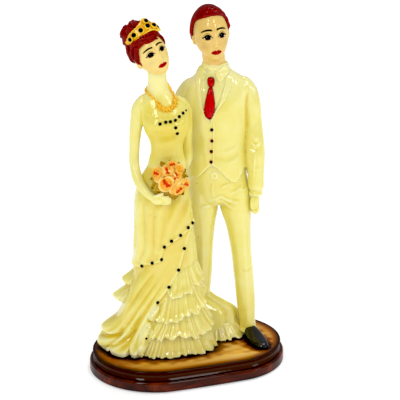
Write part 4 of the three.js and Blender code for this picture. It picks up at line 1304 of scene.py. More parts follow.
@dataclass
class Gown:
    """The bride's gown below the waist: skirt, wrapped panels, frills, train and glued-on beads."""

    x: float = BRIDE_X
    y: float = BRIDE_Y
    hem: float = 26.5
    hem_depth: float = 14.0
    hip: float = 13.5
    wrap_rise: float = 1.0
    panel_rise: float = 0.9
    wrap_edge: Points = (
        (-40, 44), (-31, 48.5), (-26.8, 52), (-21.7, 55.1), (-16.6, 57.2), (-12.6, 59), (-11.7, 62.5),
        (-10.7, 65.6), (-7.3, 68.4), (-3, 71), (1.2, 74.2), (3.7, 77), (9, 84),
    )
    panel_edge: Points = (
        (-24, 9), (-20.6, 20.4), (-18.2, 30), (-14.2, 37.8), (-8.7, 45.2), (-4, 53.6), (-1.2, 64),
        (1.5, 74), (5, 90),
    )
    sweep: Sequence[Fold] = (
        Fold(((-15.4, 58), (-19.7, 50), (-22.6, 44), (-25, 37.4), (-27.4, 31.8), (-30.6, 27), (-36, 23.2),
              (-43, 20.2)),
             3.7, 2.6, (0.0, 1.0)),
        Fold(((-13.6, 56), (-17.8, 47), (-21.7, 38.7), (-24.9, 33.2), (-28.5, 27.5), (-32.7, 22.8),
              (-37.2, 18), (-43, 12.5)),
             3.7, 2.9, (0.0, 0.7)),
        Fold(((-11.6, 53), (-15.4, 45), (-19.2, 37.8), (-23, 30.1), (-26.6, 24.5), (-30, 19.6),
              (-33.4, 14.4), (-36, 9.4)),
             3.2, 2.3, (0.0, 1.0)),
        Fold(((-9.6, 50), (-14, 41.5), (-17.6, 34.1), (-20.6, 28), (-23.2, 22), (-25.4, 17), (-27.4, 12),
              (-28.2, 8)),
             2.7, 2.0, (0.0, 1.0)),
        Fold(((-28, 26), (-31.2, 21.1), (-35.5, 19.0), (-46, 16.2)), -2.8, 0.9, (0.0, 0.6)),
        Fold(((-21.5, 28), (-27.4, 20.2), (-31.5, 16.6), (-37.4, 12.6)), -1.9, 0.9, (0.0, 0.6)),
        Fold(((-19, 37), (-23.4, 27), (-27, 20), (-30.6, 13.4)), -0.9, 1.2, (0.0, 0.3)),
    )
    drape: Sequence[Fold] = (
        Fold(((-19, 100), (-21.5, 88), (-21.6, 74), (-22.4, 62), (-25, 55)), 1.3, 1.8, (0.1, 0.9)),
        Fold(((-14.5, 98), (-17.6, 86), (-17.4, 74), (-17.8, 64), (-20, 58)), 1.1, 1.8, (0.1, 0.9)),
        Fold(((-9.5, 96), (-12.6, 84), (-13.6, 72), (-14, 64)), 0.95, 1.8, (0.1, 0.6)),
        Fold(((-3, 96), (-5.4, 86), (-8.6, 76), (-10.6, 69)), 0.9, 1.9, (0.1, 0.6)),
        Fold(((2, 94), (0.6, 86), (-2.2, 78), (-4, 73)), 0.6, 1.8, (0.1, 0.6)),
        Fold(((-23.6, 86), (-23.6, 72), (-25, 58)), -0.8, 0.8, (0.0, 0.3)),
    )
    wrap_beads: Points = (
        (2.6, 76.2), (0.6, 74.8), (-3, 71.9), (-7.3, 69.4), (-10.7, 66.6), (-12.3, 60.2), (-16.6, 58.2),
        (-21.7, 55.9),
    )
    panel_beads: Points = ((-1.2, 65), (-4, 54.6), (-8.7, 46.2), (-14.2, 38.9))
    pale_bead: tuple[float, float] = (-19.8, 21.3)
    bead_radius: float = 0.85
    pale_bead_radius: float = 0.6
    notches: Sequence[float] = (-46.0, -35.8, -26.8, -21.0)
    lobe_reach: Points = ((-42, 0.2), (-36, 1.8), (-31, 4.2), (-24, 3.4))
    curls: Sequence[Relief] = (
        Relief(((-15, 37.6), (-16.9, 35.7), (-18.3, 33), (-19.2, 30.1), (-17.3, 28.8), (-15.8, 29.1),
                (-14.2, 31.7), (-13.4, 34.7), (-13.9, 37)), rise=2.6, roll=1.5, dish=0.6),
        Relief(((-18.3, 28.8), (-16.5, 26.5), (-15.6, 22.3), (-16.1, 19.7), (-18.3, 17.1), (-21.4, 15.3),
                (-22.3, 12.6), (-23.3, 11), (-24.4, 12.6), (-24.4, 16.8), (-23.6, 21.3), (-22.3, 24.6),
                (-20.1, 27.9)), rise=3.4, roll=2.0, dish=0.6),
    )
    lace: Ruffle = Ruffle("gown_train_lace", (), ((285, 17), (360, 19), (470, 17)),
                          ((285, 11.2), (360, 11.2), (470, 11.2)),
                          ((285, 0.6), (300, 2.2), (360, 2.6), (450, 1.8), (470, 0.6)),
                          pleat=1.7, lobe=5.4, phase=2.2)

    def skirt_loft(self) -> Loft:
        """Lays out the skirt.

        Returns:
            Its sections, from the deck to the waist.
        """
        def rise(share: float) -> float:
            """Returns the height at a share of the skirt."""
            return SEAT_Z + share * (BRIDE_WAIST_Z - SEAT_Z)

        x, y, hem, deep, hip = self.x, self.y, self.hem, self.hem_depth, self.hip
        return Loft((
            (rise(0), x - 5.5, y + 1, hem, deep),
            (rise(0.036), x - 5.5, y + 1, hem, deep),
            (rise(0.1), x - 5, y + 1, hem - 2, deep - 0.8),
            (rise(0.18), x - 2.8, y + 0.7, hem * 0.78, deep - 1.4),
            (rise(0.27), x - 1.8, y + 0.5, hem * 0.68, deep - 2),
            (rise(0.35), x - 0.8, y + 0.3, hem * 0.6, deep - 2.8),
            (rise(0.46), x - 0.3, y + 0.1, hip + 1.4, deep - 3.4),
            (rise(0.56), x - 0.8, y - 0.1, hip + 1.1, deep - 3.8),
            (rise(0.66), x - 1.2, y - 0.2, hip + 0.2, deep - 4.2),
            (rise(0.77), x - 1.8, y - 0.3, hip - 0.6, deep - 4.7),
            (rise(0.85), x - 1.9, y - 0.3, hip - 1.6, deep - 5.4),
            (rise(0.92), x - 1, y - 0.2, hip - 2.7, deep - 6.2),
            (rise(1), x + 0.5, y, 8.6, deep - 7.2),
        ))

    def train_loft(self) -> Loft:
        """Lays out the train.

        Returns:
            Its sections, from the deck up.
        """
        x, y = self.x, self.y
        return Loft((
            (SEAT_Z, x + 17, y + 17.6, 20, 10.4),
            (SEAT_Z + 7, x + 17, y + 18, 19, 9),
            (SEAT_Z + 14, x + 16, y + 18.4, 17.6, 7.6),
            (SEAT_Z + 20, x + 11.6, y + 18.4, 12.4, 6.6),
            (SEAT_Z + 26, x + 8.8, y + 18, 8.8, 5.4),
            (SEAT_Z + 31, x + 8, y + 17.4, 6, 3.6),
        ))

    def skirt(self) -> Object:
        """Builds the skirt with its wrapped panels and sweeping folds.

        Returns:
            The skirt.
        """
        loft = self.skirt_loft()
        heights, turns = loft.net(218, 400)
        plain = loft.points(heights, turns)
        spots = plain.reshape(-1, 3)[:, [0, 2]]
        deg = np.degrees(np.broadcast_to(turns, plain.shape[:2])).ravel()
        x, z = spots.T
        front = step(deg, 164, 180) * (1 - step(deg, 352, 359))
        over_wrap, _ = near_path(self.wrap_edge, spots)
        over_wrap *= np.sign(z - np.interp(x, *np.array(self.wrap_edge).T))
        over_panel, _ = near_path(self.panel_edge, spots)
        over_panel *= np.sign(z - np.interp(x, *np.array(self.panel_edge).T))
        wrap = self.wrap_rise * step(over_wrap, -0.3, 0.35) + 0.25 * hump(over_wrap, 0.7, 0.75)
        wrap = wrap * (1 - step(z, 96, 103))
        panel = (self.panel_rise * step(over_panel, -0.3, 0.35) + 0.2 * hump(over_panel, 0.7, 0.8)) * front
        below = 1 - step(over_wrap, -0.6, 0.6)
        folds = relief(self.sweep, spots) * front * below
        upper = relief(self.drape, spots) * step(over_wrap, -0.2, 1.5) * front * (1 - step(z, 97, 103))
        behind = (1 - front) * step(z, 106, 40) * 0.9 * np.sin(np.radians(deg) * 11)
        out = wrap + panel * below + folds + upper + behind
        lobes = np.abs(np.sin(math.pi * np.interp(x, self.notches, range(len(self.notches))))) ** 0.6
        swung = front * step(-x, 20, 23)
        rim = 1.4 * (1 - np.clip(folds / 3, 0, 1)) + np.interp(x, *np.array(self.lobe_reach).T) * lobes - 0.8
        out += rim * swung * (1 - step(z, SEAT_Z + 0.5, SEAT_Z + 9))
        tuck = 0.6 + 0.4 * front * (1 - np.clip(folds / 2.4, 0, 1))
        out -= tuck * (1 - step(z, SEAT_Z, SEAT_Z + 3.2)) ** 2
        rings = loft.points(heights, turns, out.reshape(plain.shape[:2]))
        arch = 0.3 * front + 2.4 * swung * (1 - lobes) ** 2
        rings[..., 2] += arch.reshape(plain.shape[:2]) * (1 - step(heights, SEAT_Z, SEAT_Z + 7))
        rings[:, -1] = rings[:, 0]
        obj = grid("gown_skirt", capped(rings))
        x, _, z = points_of(obj).T
        # Paler on the upper left, and as painted light on the side towards the groom, where he shades the
        # skirt.
        pale = 0.2 * (1 - step(x, -24, -18)) * step(z, 50, 60) + 0.15 * step(x, -1, 4)
        return polish(obj, 16, 0.36, 0.18 - pale)

    def frills(self) -> list[Ruffle]:
        """Lays out the frills.

        Returns:
            The four frills, top one first.
        """
        return [
            Ruffle("gown_frill_top", ("bride_flounce_4",),
                   ((272, 49), (281, 52), (295, 55), (320, 57), (360, 58), (450, 58), (530, 53),
                    (540, 52.2), (556, 50.2)),
                   ((272, 45), (281, 42), (295, 41.6), (306, 43), (320, 45), (340, 47), (360, 48),
                    (450, 47), (530, 44.4), (545, 42.8), (556, 44.2)),
                   ((272, 0.3), (284, 1.6), (310, 2.2), (360, 2.2), (450, 2), (520, 3), (541, 5.3),
                    (556, 0.6)),
                   pleat=1.9, lobe=5.6, phase=0.3),
            Ruffle("gown_frill_upper", ("bride_flounce_3",),
                   ((258, 35), (268, 38.5), (280, 43.5), (306, 45), (330, 48), (360, 50), (450, 49),
                    (540, 45.1), (556, 43.1)),
                   ((258, 32), (268, 28.8), (288, 29.7), (304, 32.2), (317, 32.2), (330, 33.6), (345, 37),
                    (360, 40.5), (380, 41.5), (450, 39), (530, 36.2), (545, 34.1), (556, 35.1)),
                   ((258, 0.3), (270, 2), (300, 3), (340, 2.6), (360, 2.6), (450, 2.2), (520, 3.4),
                    (541, 6.8), (556, 0.6)),
                   pleat=2.0, lobe=6.0, phase=1.7),
            Ruffle("gown_frill_lower", ("bride_flounce_2",),
                   ((255, 25), (266, 30), (288, 31.6), (317, 34), (345, 38), (360, 41), (450, 39),
                    (540, 34.5), (556, 32.5)),
                   ((255, 23), (266, 20.6), (281, 21), (297, 21.2), (319, 19.8), (334, 21.5), (352, 23),
                    (365, 24.5), (450, 25), (520, 25), (541, 24.1), (556, 26.4)),
                   ((255, 0.3), (268, 2.2), (300, 3), (334, 3), (360, 3), (450, 2.4), (520, 1.4),
                    (541, 0.6), (556, 0.2)),
                   pleat=2.0, lobe=6.0, phase=3.1),
            Ruffle("gown_frill_hem", ("bride_flounce_1",),
                   ((252, 20), (266, 22), (297, 23.4), (334, 23.6), (360, 25), (450, 26), (540, 27),
                    (552, 26)),
                   ((252, 11.2), (280, 11), (360, 11.2), (450, 11.2), (540, 11.6), (552, 12)),
                   ((252, 0.4), (264, 1.6), (300, 2.4), (340, 2.6), (380, 2.4), (450, 2.2), (520, 2),
                    (540, 1.4), (552, 0.4)),
                   pleat=1.9, lobe=6.4, phase=4.4),
        ]

    def train(self) -> Object:
        """Builds the train with its long folds.

        Returns:
            The train.
        """
        loft = self.train_loft()
        heights, turns = loft.net(110, 300)
        share = (heights - SEAT_Z) / (loft.stations[-1][0] - SEAT_Z)
        swing = turns + 0.25 * np.sin(2 * turns)
        out = (1 - share) * (1.0 * np.cos(9 * swing) + 0.4 * np.cos(17 * swing + 1)) + 0.3 * np.cos(5 * turns)
        rings = loft.points(heights, turns, out)
        rings[:, -1] = rings[:, 0]
        return polish(grid("gown_train", capped(rings)), 14, 0.3)

    def curl(self, ground: Ground) -> Object:
        """Returns the panel's turned-back edge, two leaf-shaped curls one above the other."""
        both = [curl.build("curl", ground) for curl in self.curls]
        return polish(join("gown_panel_curl", both), 14, 0.9, 0.16)

    def build(self, finishes: Finishes) -> Array:
        """Builds and dresses the gown.

        Args:
            finishes: The finishes.

        Returns:
            The (x, y) of gown points near the deck.
        """
        skirt = dress(self.skirt(), finishes.ivory, Slot.IVORY, "bride_skirt", "bride_overskirt")
        pieces = [skirt]
        loft = self.skirt_loft()
        for frill in self.frills():
            pieces.append(dress(frill.build(loft), finishes.frill, Slot.IVORY, *frill.nodes))
        pieces.append(dress(self.train(), finishes.ivory, Slot.IVORY, "bride_train"))
        pieces.append(dress(self.lace.build(self.train_loft()), finishes.lace, Slot.IVORY))
        curl = dress(self.curl(Ground(skirt)), finishes.ivory, Slot.IVORY)
        ground = Ground(skirt, curl)
        black = [*self.wrap_beads, *self.panel_beads]
        spots = [ground.under((x, 0, z)) for x, z in (*black, self.pale_bead)]
        sizes = [self.bead_radius] * len(black) + [self.pale_bead_radius]
        set_black_beads("gown_beads", spots, sizes, finishes)
        low = np.vstack([points_of(piece) for piece in pieces])
        return low[low[:, 2] < DECK_Z + 1.6][:, :2]


@dataclass
class BrideBody:
    """Bodice, neck, arms and hand, cast together, with the bodice beads and the necklace."""

    x: float = BRIDE_X
    y: float = BRIDE_Y
    arm: float = 2.5
    neckline_beads: Points = (
        (-12.3, 126.6), (-9.6, 127.4), (-7.4, 127.6), (-5.2, 128.2), (-3.4, 129.6), (-1.7, 130.9),
        (-0.3, 131.8), (-5, 124.9), (-4.3, 121.9),
    )
    bead_radius: float = 0.8
    small_bead: int = 6
    small_bead_radius: float = 0.5
    folds: Sequence[Fold] = (
        Fold(((-17, 119), (-12, 117.6), (-7, 118.4), (-2.4, 121)), -0.35, 1.6, (0.2, 0.2)),
        Fold(((-15.6, 112), (-11, 110.6), (-5, 111.6)), 0.3, 1.6),
        Fold(((-14, 108.4), (-9, 107.4), (-4, 108)), 0.3, 1.4),
        Fold(((-18.4, 130.5), (-14.5, 128.4), (-10, 128.4), (-6, 128.8), (-2, 131), (1.2, 134)),
             0.3, 0.8, (0.6, 0.6)),
    )
    chain: Points = (
        (-19, 140.6), (-17, 139), (-14.4, 136.8), (-12.6, 134.2), (-9.4, 132.6), (-6.4, 134), (-5.4, 136.4),
        (-6.4, 139), (-7.6, 142.4),
    )

    def torso(self, share: float) -> float:
        """Returns the height at a share of the torso."""
        return BRIDE_WAIST_Z + 0.3 + 44 * share

    def loft(self) -> Loft:
        """Lays out the bodice.

        Returns:
            Its sections, from inside the skirt up to the jaw.
        """
        x, y, high = self.x, self.y, self.torso
        return Loft((
            (high(-0.14), x + 0.2, y, 9.6, 7.4),
            (high(0), x + 0.5, y, 8.9, 7.1),
            (high(0.11), x + 0.6, y, 7.8, 6.6),
            (high(0.23), x + 0.5, y - 0.1, 8.2, 7),
            (high(0.34), x + 0.4, y - 0.6, 10.3, 8.0),
            (high(0.44), x + 0.4, y - 1, 11.3, 8.4),
            (high(0.55), x - 0.2, y - 0.2, 11.7, 7.4),
            (high(0.64), x - 1.6, y + 0.5, 11.3, 6.4),
            (high(0.71), x - 2.6, y + 0.7, 8.3, 5.4),
            (high(0.77), x - 3.2, y + 0.7, 6, 4.9),
            (high(0.84), x - 3.5, y + 0.6, 4.9, 4.6),
            (high(1), x - 4, y + 0.2, 4.5, 4.4),
            (high(1.06), x - 4.2, y + 0.2, 4.6, 4.4),
        ))

    def arms(self) -> list[Object]:
        """Builds both arms and the hand under the flowers.

        Returns:
            Forms to be fused.
        """
        x, y, arm, high = self.x, self.y, self.arm, self.torso
        right = tube("arm", (
            (x - 6.5, y + 0.7, high(0.7), arm - 0.2),
            (x - 9.4, y + 0.6, high(0.68), arm + 0.4),
            (x - 12, y + 0.5, high(0.61), arm + 0.8),
            (x - 13.8, y + 0.2, high(0.42), arm + 0.6),
            (x - 14.9, y - 0.6, high(0.16), arm),
            (x - 14.9, y - 2, high(-0.04), arm - 0.1),
            (x - 12.8, y - 6, high(-0.19), arm),
            (x - 8.6, y - 10, high(-0.3), arm - 0.3),
            (x - 5.4, y - 11.6, high(-0.35), arm - 0.7),
        ))
        left = tube("arm", (
            (x + 4, y + 0.8, high(0.67), arm - 0.4),
            (x + 6.6, y + 0.9, high(0.66), arm),
            (x + 8.9, y + 1.6, high(0.58), arm + 0.6),
            (x + 9.9, y + 3.8, high(0.42), arm + 0.3),
            (x + 9.9, y + 5.4, high(0.18), arm),
            (x + 9.9, y + 6.2, high(-0.02), arm),
            (x + 8.4, y + 8.6, high(-0.12), arm - 0.3),
            (x + 6, y + 10.2, high(-0.19), arm - 0.6),
        ))
        wrist = np.array((x - 5.4, y - 11.6, high(-0.35)))
        palm = ball("palm", wrist + (2.0, -0.6, -0.7), (6.4, 3.6, 4.6))
        fingers = []
        for k in range(4):
            knuckle = wrist + (3.0 + 0.4 * k, -1.3 + 0.25 * k, 0.9 - 1.05 * k)
            reach = 4.2 - 0.5 * abs(k - 1.2)
            steps = ((0, 0, 0, 0.85), (0.5 * reach, -0.9, 0.2, 0.82), (reach, -0.3, 0.5, 0.7))
            fingers.append(digit(knuckle, steps, 20, 18))
        thumb = digit(wrist, ((0.6, -1.2, 1.2, 0.9), (2.6, -2.0, 2.2, 0.85), (4.2, -2.0, 3.0, 0.7)), 20, 18)
        return [right, left, palm, *fingers, thumb]

    def necklace(self, ground: Ground) -> Object:
        """Builds the necklace: twisted strands at the sides and rows of beads in front.

        Args:
            ground: The bodice.

        Returns:
            The necklace.
        """
        line = np.asarray(self.chain, float)
        run = run_of(line)
        places = np.linspace(0, run[-1], 60)
        path = between(np.column_stack([run, line]), places)
        found = [ground.under((x, 0, z)) or ground.nearest((x, -6, z)) for x, z in path]
        spots = np.array([place for place, _ in found])
        ups = np.array([normal for _, normal in found])
        sides = unit(np.cross(np.gradient(spots, axis=0), ups))
        made = []
        for strand in range(2):
            turn = math.pi * strand + places / 0.75
            swell = (0.3 + 0.15 * hump(places, 14, 6))[:, None]
            middle = spots + ups * (0.5 + 0.4 * np.sin(turn))[:, None]
            middle = middle + sides * (swell * np.cos(turn)[:, None])
            stations = np.column_stack([middle, np.full(len(middle), 0.3)])
            made.append(tube("strand", stations, 150, 10))
        dots, sizes = [], []
        for row, (shift, size) in enumerate(((-0.85, 0.5), (0.1, 0.62), (1.1, 0.55))):
            for place in np.arange(7.6 + 0.4 * row, 20.5 - 0.5 * row, 1.2):
                k = int(np.argmin(np.abs(places - place)))
                seat = ground.under(spots[k] + sides[k] * shift) or (spots[k], ups[k])
                dots.append((seat[0] + seat[1] * 0.25, seat[1]))
                sizes.append(size)
        made.append(beads("necklace", dots, sizes, sink=0.2, flat=0.9))
        x, y, high = self.x, self.y, self.torso
        back = tube("strand", (
            (*(spots[0] + ups[0] * 0.3), 0.7), (x - 7.2, y + 3.4, high(0.83), 0.7),
            (x - 3.4, y + 5.4, high(0.85), 0.7), (x + 0.4, y + 3.2, high(0.85), 0.7),
            (*(spots[-1] + ups[-1] * 0.3), 0.7),
        ), 60, 12)
        return polish(join("necklace_chain", [*made, back]), 3, 0.13)

    def build(self, finishes: Finishes) -> None:
        """Builds and dresses the bride's upper body.

        Args:
            finishes: The finishes.
        """
        loft = self.loft()
        heights, turns = loft.net(120, 160)
        x, _, z = np.moveaxis(loft.points(heights, turns), -1, 0)
        front = step(-np.sin(turns), 0.0, 0.6)
        bust = sum(hump(x, self.x + side, 4.2) * hump(z, 124.6, 4.6) for side in (-4.9, 5.3))
        collar = -0.5 * hump(x, self.x - 2.6, 1.6) * hump(z, 138.5, 2.0)
        rings = loft.points(heights, turns, (1.3 * bust + collar) * front)
        rings[:, -1] = rings[:, 0]
        trunk = grid("trunk", capped(rings))
        body = fuse("bride_body", [trunk, *self.arms()], 0.3, 6)
        sculpt(body, self.folds)
        x, _, z = points_of(body).T
        midriff = step(x, -21.5, -19.5) * step(z, 104, 112) * (1 - step(z, 126, 140))
        polish(body, 16, 0.4, 0.22 * midriff - 0.08 - 0.12 * step(z, 134, 142), 70)
        dress(body, finishes.bodice, Slot.IVORY,
              "bride_bodice", "bride_right_arm", "bride_left_arm", "bride_right_hand")
        ground = Ground(body)
        spots = [ground.under((x, 0, z)) for x, z in self.neckline_beads]
        sizes = [self.bead_radius] * len(spots)
        sizes[self.small_bead] = self.small_bead_radius
        set_black_beads("bodice_beads", spots, sizes, finishes)
        dress(self.necklace(ground), finishes.gold, Slot.GOLD, "necklace")


# Heads


@dataclass(frozen=True)
class Head:
    """A head in its own frame, face towards -y, with painted features of a plain doll's pattern.

    Attributes:
        centre: Middle of the head, couple frame.
        lean: Sideways lean, degrees.
        turn: Turn about its own axis, degrees.
        nod: Nod, degrees.
        width: Width of the skull.
        height: From chin to crown.
        jaw: Share of the width lost at the chin.
    """

    centre: tuple[float, float, float]
    lean: float
    turn: float
    nod: float
    width: float
    height: float
    jaw: float = 0.3

    def frame(self) -> Array:
        """Puts lean, turn and nod together.

        Returns:
            The head's rotation.
        """
        lean, turn, nod = (math.radians(angle) for angle in (self.lean, self.turn, self.nod))
        sideways = np.array([[math.cos(lean), 0, math.sin(lean)], [0, 1, 0],
                             [-math.sin(lean), 0, math.cos(lean)]])
        over = np.array([[1, 0, 0], [0, math.cos(nod), -math.sin(nod)], [0, math.sin(nod), math.cos(nod)]])
        return sideways @ about_z(turn) @ over

    def out(self, points: Array | Sequence[float]) -> Array:
        """Takes points from the head's frame to the couple's."""
        return np.asarray(points, float) @ self.frame().T + np.asarray(self.centre)

    def inside(self, points: Array) -> Array:
        """Takes points from the couple's frame to the head's."""
        return (points - np.asarray(self.centre)) @ self.frame()

    def egg(self, ways: Array, grow: Array | float = 0.0) -> Array:
        """Reads the bare head form.

        Args:
            ways: Directions from its middle.
            grow: How far it is swollen.

        Returns:
            Points in the head's frame.
        """
        x, y, z = ways.T
        low = np.maximum(0, -z)
        depth = self.width * 1.22
        return np.stack([
            x * (self.width / 2 + grow) * (1 - self.jaw * low**2),
            y * (depth / 2 + grow) * (1 - 0.22 * low) - 0.2 * depth * low**2,
            z * (self.height / 2 + grow),
        ], axis=1)

    def ways(self, crowd: float = 1.25) -> tuple[Object, Array]:
        """Makes a ball to be shaped into a head.

        Args:
            crowd: How closely its points crowd on the face, 1 for evenly.

        Returns:
            The ball, and the directions of its points.
        """
        obj = ball("ball", (0, 0, 0), (2, 2, 2), HEAD_DETAIL)
        ways = unit(points_of(obj))
        angle = np.arccos(np.clip(-ways[:, 1], -1, 1))
        tight = math.pi * (angle / math.pi) ** crowd
        side = ways[:, [0, 2]] / np.maximum(np.sin(angle), 1e-6)[:, None]
        spread = side * np.sin(tight)[:, None]
        return obj, np.stack([spread[:, 0], -np.cos(tight), spread[:, 1]], axis=1)

    def features(self, points: Array) -> Array:
        """Models brows, sockets, eyes, nose, lips, cheeks and chin.

        Args:
            points: Points of the bare head, in its frame.

        Returns:
            How far each one stands out.
        """
        u, v = points[:, 0] / (self.width / 2), points[:, 2] / (self.height / 2)
        side = np.abs(u)

        def bump(cu: float, cv: float, ru: float, rv: float, rise: float) -> Array:
            """Returns a pair of bumps at shares (cu, cv) of the face, with radii (ru, rv)."""
            return rise * np.exp(-(((side - cu) / ru) ** 2) - ((v - cv) / rv) ** 2)

        ridge = np.clip((0.06 - v) / 0.46, 0, 1)
        bridge = (0.35 + 1.0 * ridge) * np.exp(-((u / (0.1 + 0.06 * ridge)) ** 2))
        nose = bridge * step(-v, -0.16, 0.0) * step(v, -0.5, -0.38)
        eyes = bump(0.4, 0.13, 0.26, 0.08, 0.28) + bump(0.4, -0.02, 0.2, 0.12, -0.55)
        eyes = eyes + bump(0.4, -0.06, 0.15, 0.07, 0.4)
        cheeks = bump(0.12, -0.42, 0.07, 0.05, 0.35) + bump(0.5, -0.36, 0.22, 0.16, 0.35)
        lips = bump(0.0, -0.585, 0.2, 0.035, 0.3) + bump(0.0, -0.675, 0.17, 0.04, 0.38)
        lips = lips + bump(0.0, -0.63, 0.24, 0.014, -0.22)
        chin = bump(0.0, -0.9, 0.2, 0.1, 0.4) + bump(0.0, -0.78, 0.2, 0.05, -0.25)
        return eyes + nose + cheeks + lips + chin

    def skull(self, parts: Sequence[Object] = ()) -> Object:
        """Builds the head with its face.

        Args:
            parts: Ears and neck to fuse with it, couple frame.

        Returns:
            The head.
        """
        obj, ways = self.ways()
        points = self.egg(ways)
        front = step(-ways[:, 1], 0.05, 0.5)
        points[:, 1] -= self.features(points) * front
        set_points(obj, self.out(points))
        return fuse("head", [obj, *parts], 0.17, 2)

    def ear(self, side: int) -> Object:
        """Builds an ear: a shell with a rolled rim and a lobe.

        Args:
            side: 1 for the ear towards +x, -1 for the other.

        Returns:
            The ear.
        """
        obj = ball("ear", (0, 0, 0), (2, 2, 2), 5)
        x, y, z = points_of(obj).T
        spread = np.hypot(y, z)
        bowl = 0.55 * hump(spread, 0.78, 0.16) - 0.5 * hump(spread, 0.1, 0.42)
        outer = np.maximum(side * x, 0)
        narrow = 1 - 0.25 * step(-z, 0.2, 1.0)
        points = np.stack([1.1 * x + side * bowl * outer, 1.9 * y * narrow, 3.3 * z], axis=1)
        place = (side * (self.width / 2 - 0.5), 1.4, -1.0)
        set_points(obj, self.out(points @ about_z(0.35 * side).T + place))
        return obj

    def paint(self, obj: Object, lash: str, lips: str, tint: float) -> None:
        """Brushes brows, eyes and lips on the face.

        Args:
            obj: The head.
            lash: Colour of the brows and lash lines.
            lips: Colour of the lips.
            tint: Strength of the blush on the cheeks.
        """
        points = self.inside(points_of(obj))
        u, v = points[:, 0] / (self.width / 2), points[:, 2] / (self.height / 2)
        side, face = np.abs(u), points[:, 1] < 0
        colours = np.zeros((len(points), 4))

        def brush(cover: Array, colour: str) -> None:
            """Lays a colour over what is painted so far."""
            cover = np.clip(cover, 0, 1)[:, None] * face[:, None]
            colours[:, :3] = colours[:, :3] * (1 - cover) + np.array(linear(colour)[:3]) * cover
            colours[:, 3:] = np.maximum(colours[:, 3:], cover)

        def stroke(line: Array, half: Array | float, soft: float = 0.008) -> Array:
            """Returns the cover of a brush stroke along a line."""
            return 1 - step(np.abs(v - line) - half, -soft, soft)

        def span(low: float, high: float, soft: float = 0.02) -> Array:
            """Returns 1 between two distances from the middle of the face."""
            return step(side, low - soft, low + soft) * (1 - step(side, high - soft, high + soft))

        t = (side - 0.41) / 0.24
        bow = np.maximum(0, 1 - t * t)
        upper, lower = -0.05 + 0.105 * bow, -0.05 - 0.07 * bow
        white = step(upper - v, -0.006, 0.006) * step(v - lower, -0.006, 0.006) * (np.abs(t) < 1)
        brush(tint * np.exp(-(((side - 0.55) / 0.25) ** 2) - ((v + 0.34) / 0.14) ** 2), "#F2A878")
        brush(white, "#FBF0D0")
        look = np.hypot((side - 0.41) * self.width, (v + 0.03) * self.height) / 2
        brush(white * (1 - step(look, 1.25, 1.38)), "#160502")
        brush(white * (1 - step(look, 0.95, 1.1)), "#010000")
        glint = np.hypot((u - np.sign(u) * 0.41 + 0.04) * self.width, (v - 0.005) * self.height) / 2
        brush((1 - step(glint, 0.04, 0.1)), "#FFF8E6")
        wing = upper + 0.03 * step(t, 0.7, 1.25)
        brush(stroke(wing, 0.026 + 0.016 * bow) * span(0.15, 0.7), lash)
        brush(0.9 * stroke(lower, 0.012) * span(0.24, 0.6), "#7A2A10")
        brush(0.85 * stroke(upper + 0.07 + 0.01 * bow, 0.012) * span(0.2, 0.64), "#7A2A10")
        w = (side - 0.42) / 0.3
        brow = 0.2 + 0.045 * (1 - w * w) - 0.02 * w
        brush(stroke(brow, 0.036 * np.clip(1 - 0.55 * np.maximum(w, 0) ** 2, 0.2, 1)) * span(0.13, 0.72),
              lash)
        half = 0.31
        q = np.clip(side / half, 0, 1)
        top = -0.63 + (0.09 - 0.03 * np.exp(-((u / 0.05) ** 2))) * (1 - q**2) ** 0.7
        bottom = -0.63 - 0.1 * (1 - q**2) ** 0.6
        mouth = step(top - v, -0.006, 0.006) * step(v - bottom, -0.006, 0.006) * (side < half)
        brush(mouth, lips)
        brush(mouth * 0.8 * np.exp(-(((v + 0.63) / 0.011) ** 2)), "#3A0408")
        record_paint(obj, colours)


@dataclass(frozen=True)
class HairLine:
    """Painted hair on a head: where it ends, how thick it is and which way it is combed.

    Attributes:
        edge: Lower edge, as (angle from the face in degrees, share of the half height).
        thick: Thickness.
        lift: Extra height on the crown.
        comb: Strands for each unit of height, and for each radian round the head.
        groove: Depth of the strands.
        roll: Extra thickness of a roll along the front edge.
    """

    edge: Points
    thick: float
    lift: float
    comb: tuple[float, float]
    groove: float
    roll: float = 0.0

    def build(self, name: str, head: Head) -> Object:
        """Builds the hair.

        Args:
            name: Name of the piece.
            head: The head it grows on.

        Returns:
            The hair.
        """
        obj, ways = head.ways(crowd=1.0)
        angle = np.degrees(np.arctan2(ways[:, 0], -ways[:, 1]))
        ends = np.interp(angle, *np.array(self.edge).T)
        over = (ways[:, 2] - ends) * head.height / 2
        cover = np.sqrt(np.clip(over / 1.3, 0, 1))
        round_about = np.radians(angle) * np.sqrt(np.maximum(1 - ways[:, 2]**2, 0))
        flow = self.comb[0] * ways[:, 2] + self.comb[1] * round_about
        flow = flow + 0.5 * np.sin(2.3 * np.radians(angle) + 4 * ways[:, 2])
        strands = np.abs(np.sin(flow)) ** 0.6 - 0.55 + 0.35 * np.abs(np.sin(2.7 * flow + 0.8))
        front = step(-ways[:, 1], 0.0, 0.6)
        grow = self.thick * cover + self.groove * strands * cover - 0.6 * (over <= 0)
        grow = grow + self.roll * front * hump(over, 2.3, 1.7) * cover
        points = head.egg(ways, grow)
        points[:, 2] += self.lift * step(ways[:, 2], 0.1, 0.9)
        set_points(obj, head.out(points))
        return polish(named(obj, name), 6, 0.25, angle=70)


